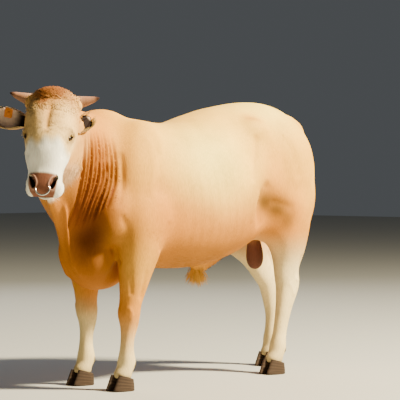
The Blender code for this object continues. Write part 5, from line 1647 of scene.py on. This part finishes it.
def lashes(name, side):
    """Fine dark tufts along the upper half of the slit, standing out and up."""
    generator = np.random.default_rng(51 + side)
    centre, axes = eye_frame(side)
    a = generator.uniform(math.radians(15), math.radians(165), LASHES)
    u = SLIT_HALF_LENGTH * np.cos(a)
    v = SLIT_HALF_HEIGHT * np.sin(a) ** 1.25 + 0.0015
    w = np.sqrt((EYE_RADIUS + 0.0030) ** 2 - u * u - v * v)
    local = np.stack([u, v, w], axis=1)
    normals = local / np.linalg.norm(local, axis=1, keepdims=True) @ axes.T
    lie = np.stack([0.5 * np.cos(a), np.ones(LASHES), np.zeros(LASHES)], axis=1) @ axes.T
    length = generator.uniform(0.012, 0.022, LASHES)
    roots = centre + local @ axes.T
    obj = tuft_mesh(name, roots, normals, lie, length, 0.0015, 0.9, -0.3, 0.0, generator, colour=LID_RIM)
    return finish_piece(obj, SHORT_COAT, "head")


for fringe_side, sign in SIDES.items():
    ear_fringe(f"ear_fringe_{fringe_side}", sign)
    lashes(f"lashes_{fringe_side}", sign)

# %% [markdown]
# ## The tail's switch
# The brush is long hair that hangs from the last third of the tail. The locks start round the tail's end
# at different heights, spread a little, and draw together to a ragged point.

# %% Tail switch
SWITCH_LOCKS, SWITCH_LEVELS = 260, 12
SWITCH_PALE = linear("#d9a56a")


def tail_switch(name):
    """Each lock hangs from its start, bulges out at 45 percent and draws back in, with a small wave."""
    generator = np.random.default_rng(5)
    tail_end = np.array(TAIL[-1][:3]) + SHIFT
    start = generator.uniform(0.74, 0.86, SWITCH_LOCKS)
    end = generator.uniform(0.425, 0.56, SWITCH_LOCKS)
    turn = generator.uniform(0, 2 * math.pi, SWITCH_LOCKS)
    t = np.linspace(0, 1, SWITCH_LEVELS)
    spread = np.interp(t, [0, 0.2, 0.45, 0.75, 1], [0.020, 0.027, 0.034, 0.028, 0.012])
    spread = spread * generator.uniform(0.45, 1.0, SWITCH_LOCKS)[:, None]
    swirl = turn[:, None] + generator.normal(0, 0.5, SWITCH_LOCKS)[:, None] * t
    wave = 0.003 * np.sin(t * 9 + turn[:, None] * 3)
    z = start[:, None] + (end - start)[:, None] * t
    above = np.clip((z - 0.74) / 0.11, 0, 1)
    lean = np.stack([above * 0.008, above * 0.008, np.zeros_like(z)], axis=-1)
    off = spread + wave
    line = np.stack([off * np.cos(swirl), off * np.sin(swirl), z - tail_end[2]], axis=-1)
    line = line + tail_end + lean
    width = np.interp(t, [0, 0.3, 0.7, 1], [0.0030, 0.0042, 0.0032, 0.0003])
    out = np.stack([np.cos(swirl), np.sin(swirl), np.zeros_like(z)], axis=-1)
    across = np.stack([-np.sin(swirl), np.cos(swirl), np.zeros_like(z)], axis=-1)
    corners = np.stack([line + across * width[None, :, None], line - across * width[None, :, None],
                        line + out * width[None, :, None] * 0.9], axis=2)
    faces = tuft_faces(SWITCH_LOCKS, SWITCH_LEVELS)
    obj = outwards(new_piece(name, corners.reshape(-1, 3), faces))
    colour = SWITCH_PALE * generator.uniform(0.75, 1.1, SWITCH_LOCKS)[:, None]
    paint(obj, np.repeat(colour, SWITCH_LEVELS * 3, axis=0))
    add_bake_map(obj, line[:, 0], SWITCH_LEVELS * 3)
    return obj


finish_piece(tail_switch("hanging_switch"), SHORT_COAT, "tail_switch", "tail_switch")

# %% [markdown]
# ## Floor, light and camera
# The photograph was taken with a long lens from about eleven metres, level with the chest, at 42 degrees
# from straight ahead. The sun stood high on the right. A small warm key takes its place, with a faint
# wide fill from the left and a cooler one from behind that draws the outline.

# %% Stage, light and camera
CAMERA_AZIMUTH = math.radians(42)
CAMERA_DISTANCE = 11.0  # from the near fore foot
CAMERA_HEIGHT = 1.14
NEAR_FOOT = (0.18, -0.53, 0)
FOCAL_PIXELS, PICTURE = 2178.0, 400.0
FOOT_COLUMN, HORIZON_ROW = 125.0, 165.0
SENSOR = 36
LIT_POINT = (0, 0, 0.9)
FLOOR_HALF = 30.0


def add_camera():
    """Stands behind the near fore foot's picture column and looks down until the horizon is on its row."""
    back = Vector((math.sin(CAMERA_AZIMUTH), -math.cos(CAMERA_AZIMUTH), 0))
    right = Vector((math.cos(CAMERA_AZIMUTH), math.sin(CAMERA_AZIMUTH), 0))
    foot = Vector(NEAR_FOOT) + Vector(SHIFT)
    sideways = (PICTURE / 2 - FOOT_COLUMN) / FOCAL_PIXELS * CAMERA_DISTANCE
    pitch = math.atan((PICTURE / 2 - HORIZON_ROW) / FOCAL_PIXELS)
    camera = bpy.data.objects.new("camera", bpy.data.cameras.new("camera"))
    camera.data.sensor_width = SENSOR
    camera.data.lens = FOCAL_PIXELS / PICTURE * SENSOR
    camera.data.clip_end = 100
    camera.location = foot + back * CAMERA_DISTANCE + right * sideways + Vector((0, 0, CAMERA_HEIGHT))
    ahead = -back * math.cos(pitch) - Vector((0, 0, math.sin(pitch)))
    camera.rotation_mode = "QUATERNION"
    camera.rotation_quaternion = ahead.to_track_quat("-Z", "Y")
    bpy.context.scene.collection.objects.link(camera)
    bpy.context.scene.camera = camera


def add_area_light(name, place, size, watts, colour):
    """A square light that faces the middle of the animal."""
    data = bpy.data.lights.new(name, "AREA")
    data.size, data.energy, data.color = size, watts, linear(colour)
    lamp = bpy.data.objects.new(name, data)
    lamp.location = place
    lamp.rotation_mode = "QUATERNION"
    lamp.rotation_quaternion = (Vector(LIT_POINT) - Vector(place)).to_track_quat("-Z", "Y")
    bpy.context.scene.collection.objects.link(lamp)


add_camera()
add_area_light("sun side key", (6.2, 3.2, 7.4), 1.0, 5200, "#fff0cc")
add_area_light("left fill", (-3.0, -8.0, 3.0), 5.0, 25, "#fff1dc")
add_area_light("back fill", (-6.0, 4.0, 5.0), 6.0, 220, "#eef3ff")
world = bpy.data.worlds.new("studio")
bpy.context.scene.world = world
world.use_nodes = True
sky = world.node_tree.nodes["Background"].inputs
sky["Color"].default_value = (*linear("#e6eef5"), 1)
sky["Strength"].default_value = 0.09

corners = [(x * FLOOR_HALF, y * FLOOR_HALF, 0) for x, y in ((-1, -1), (1, -1), (1, 1), (-1, 1))]
floor = new_piece("floor", corners, [[0, 1, 2, 3]], smooth=False)
floor.data.materials.append(plain_material("pale studio floor", "#b4b3ac", Roughness=0.9))
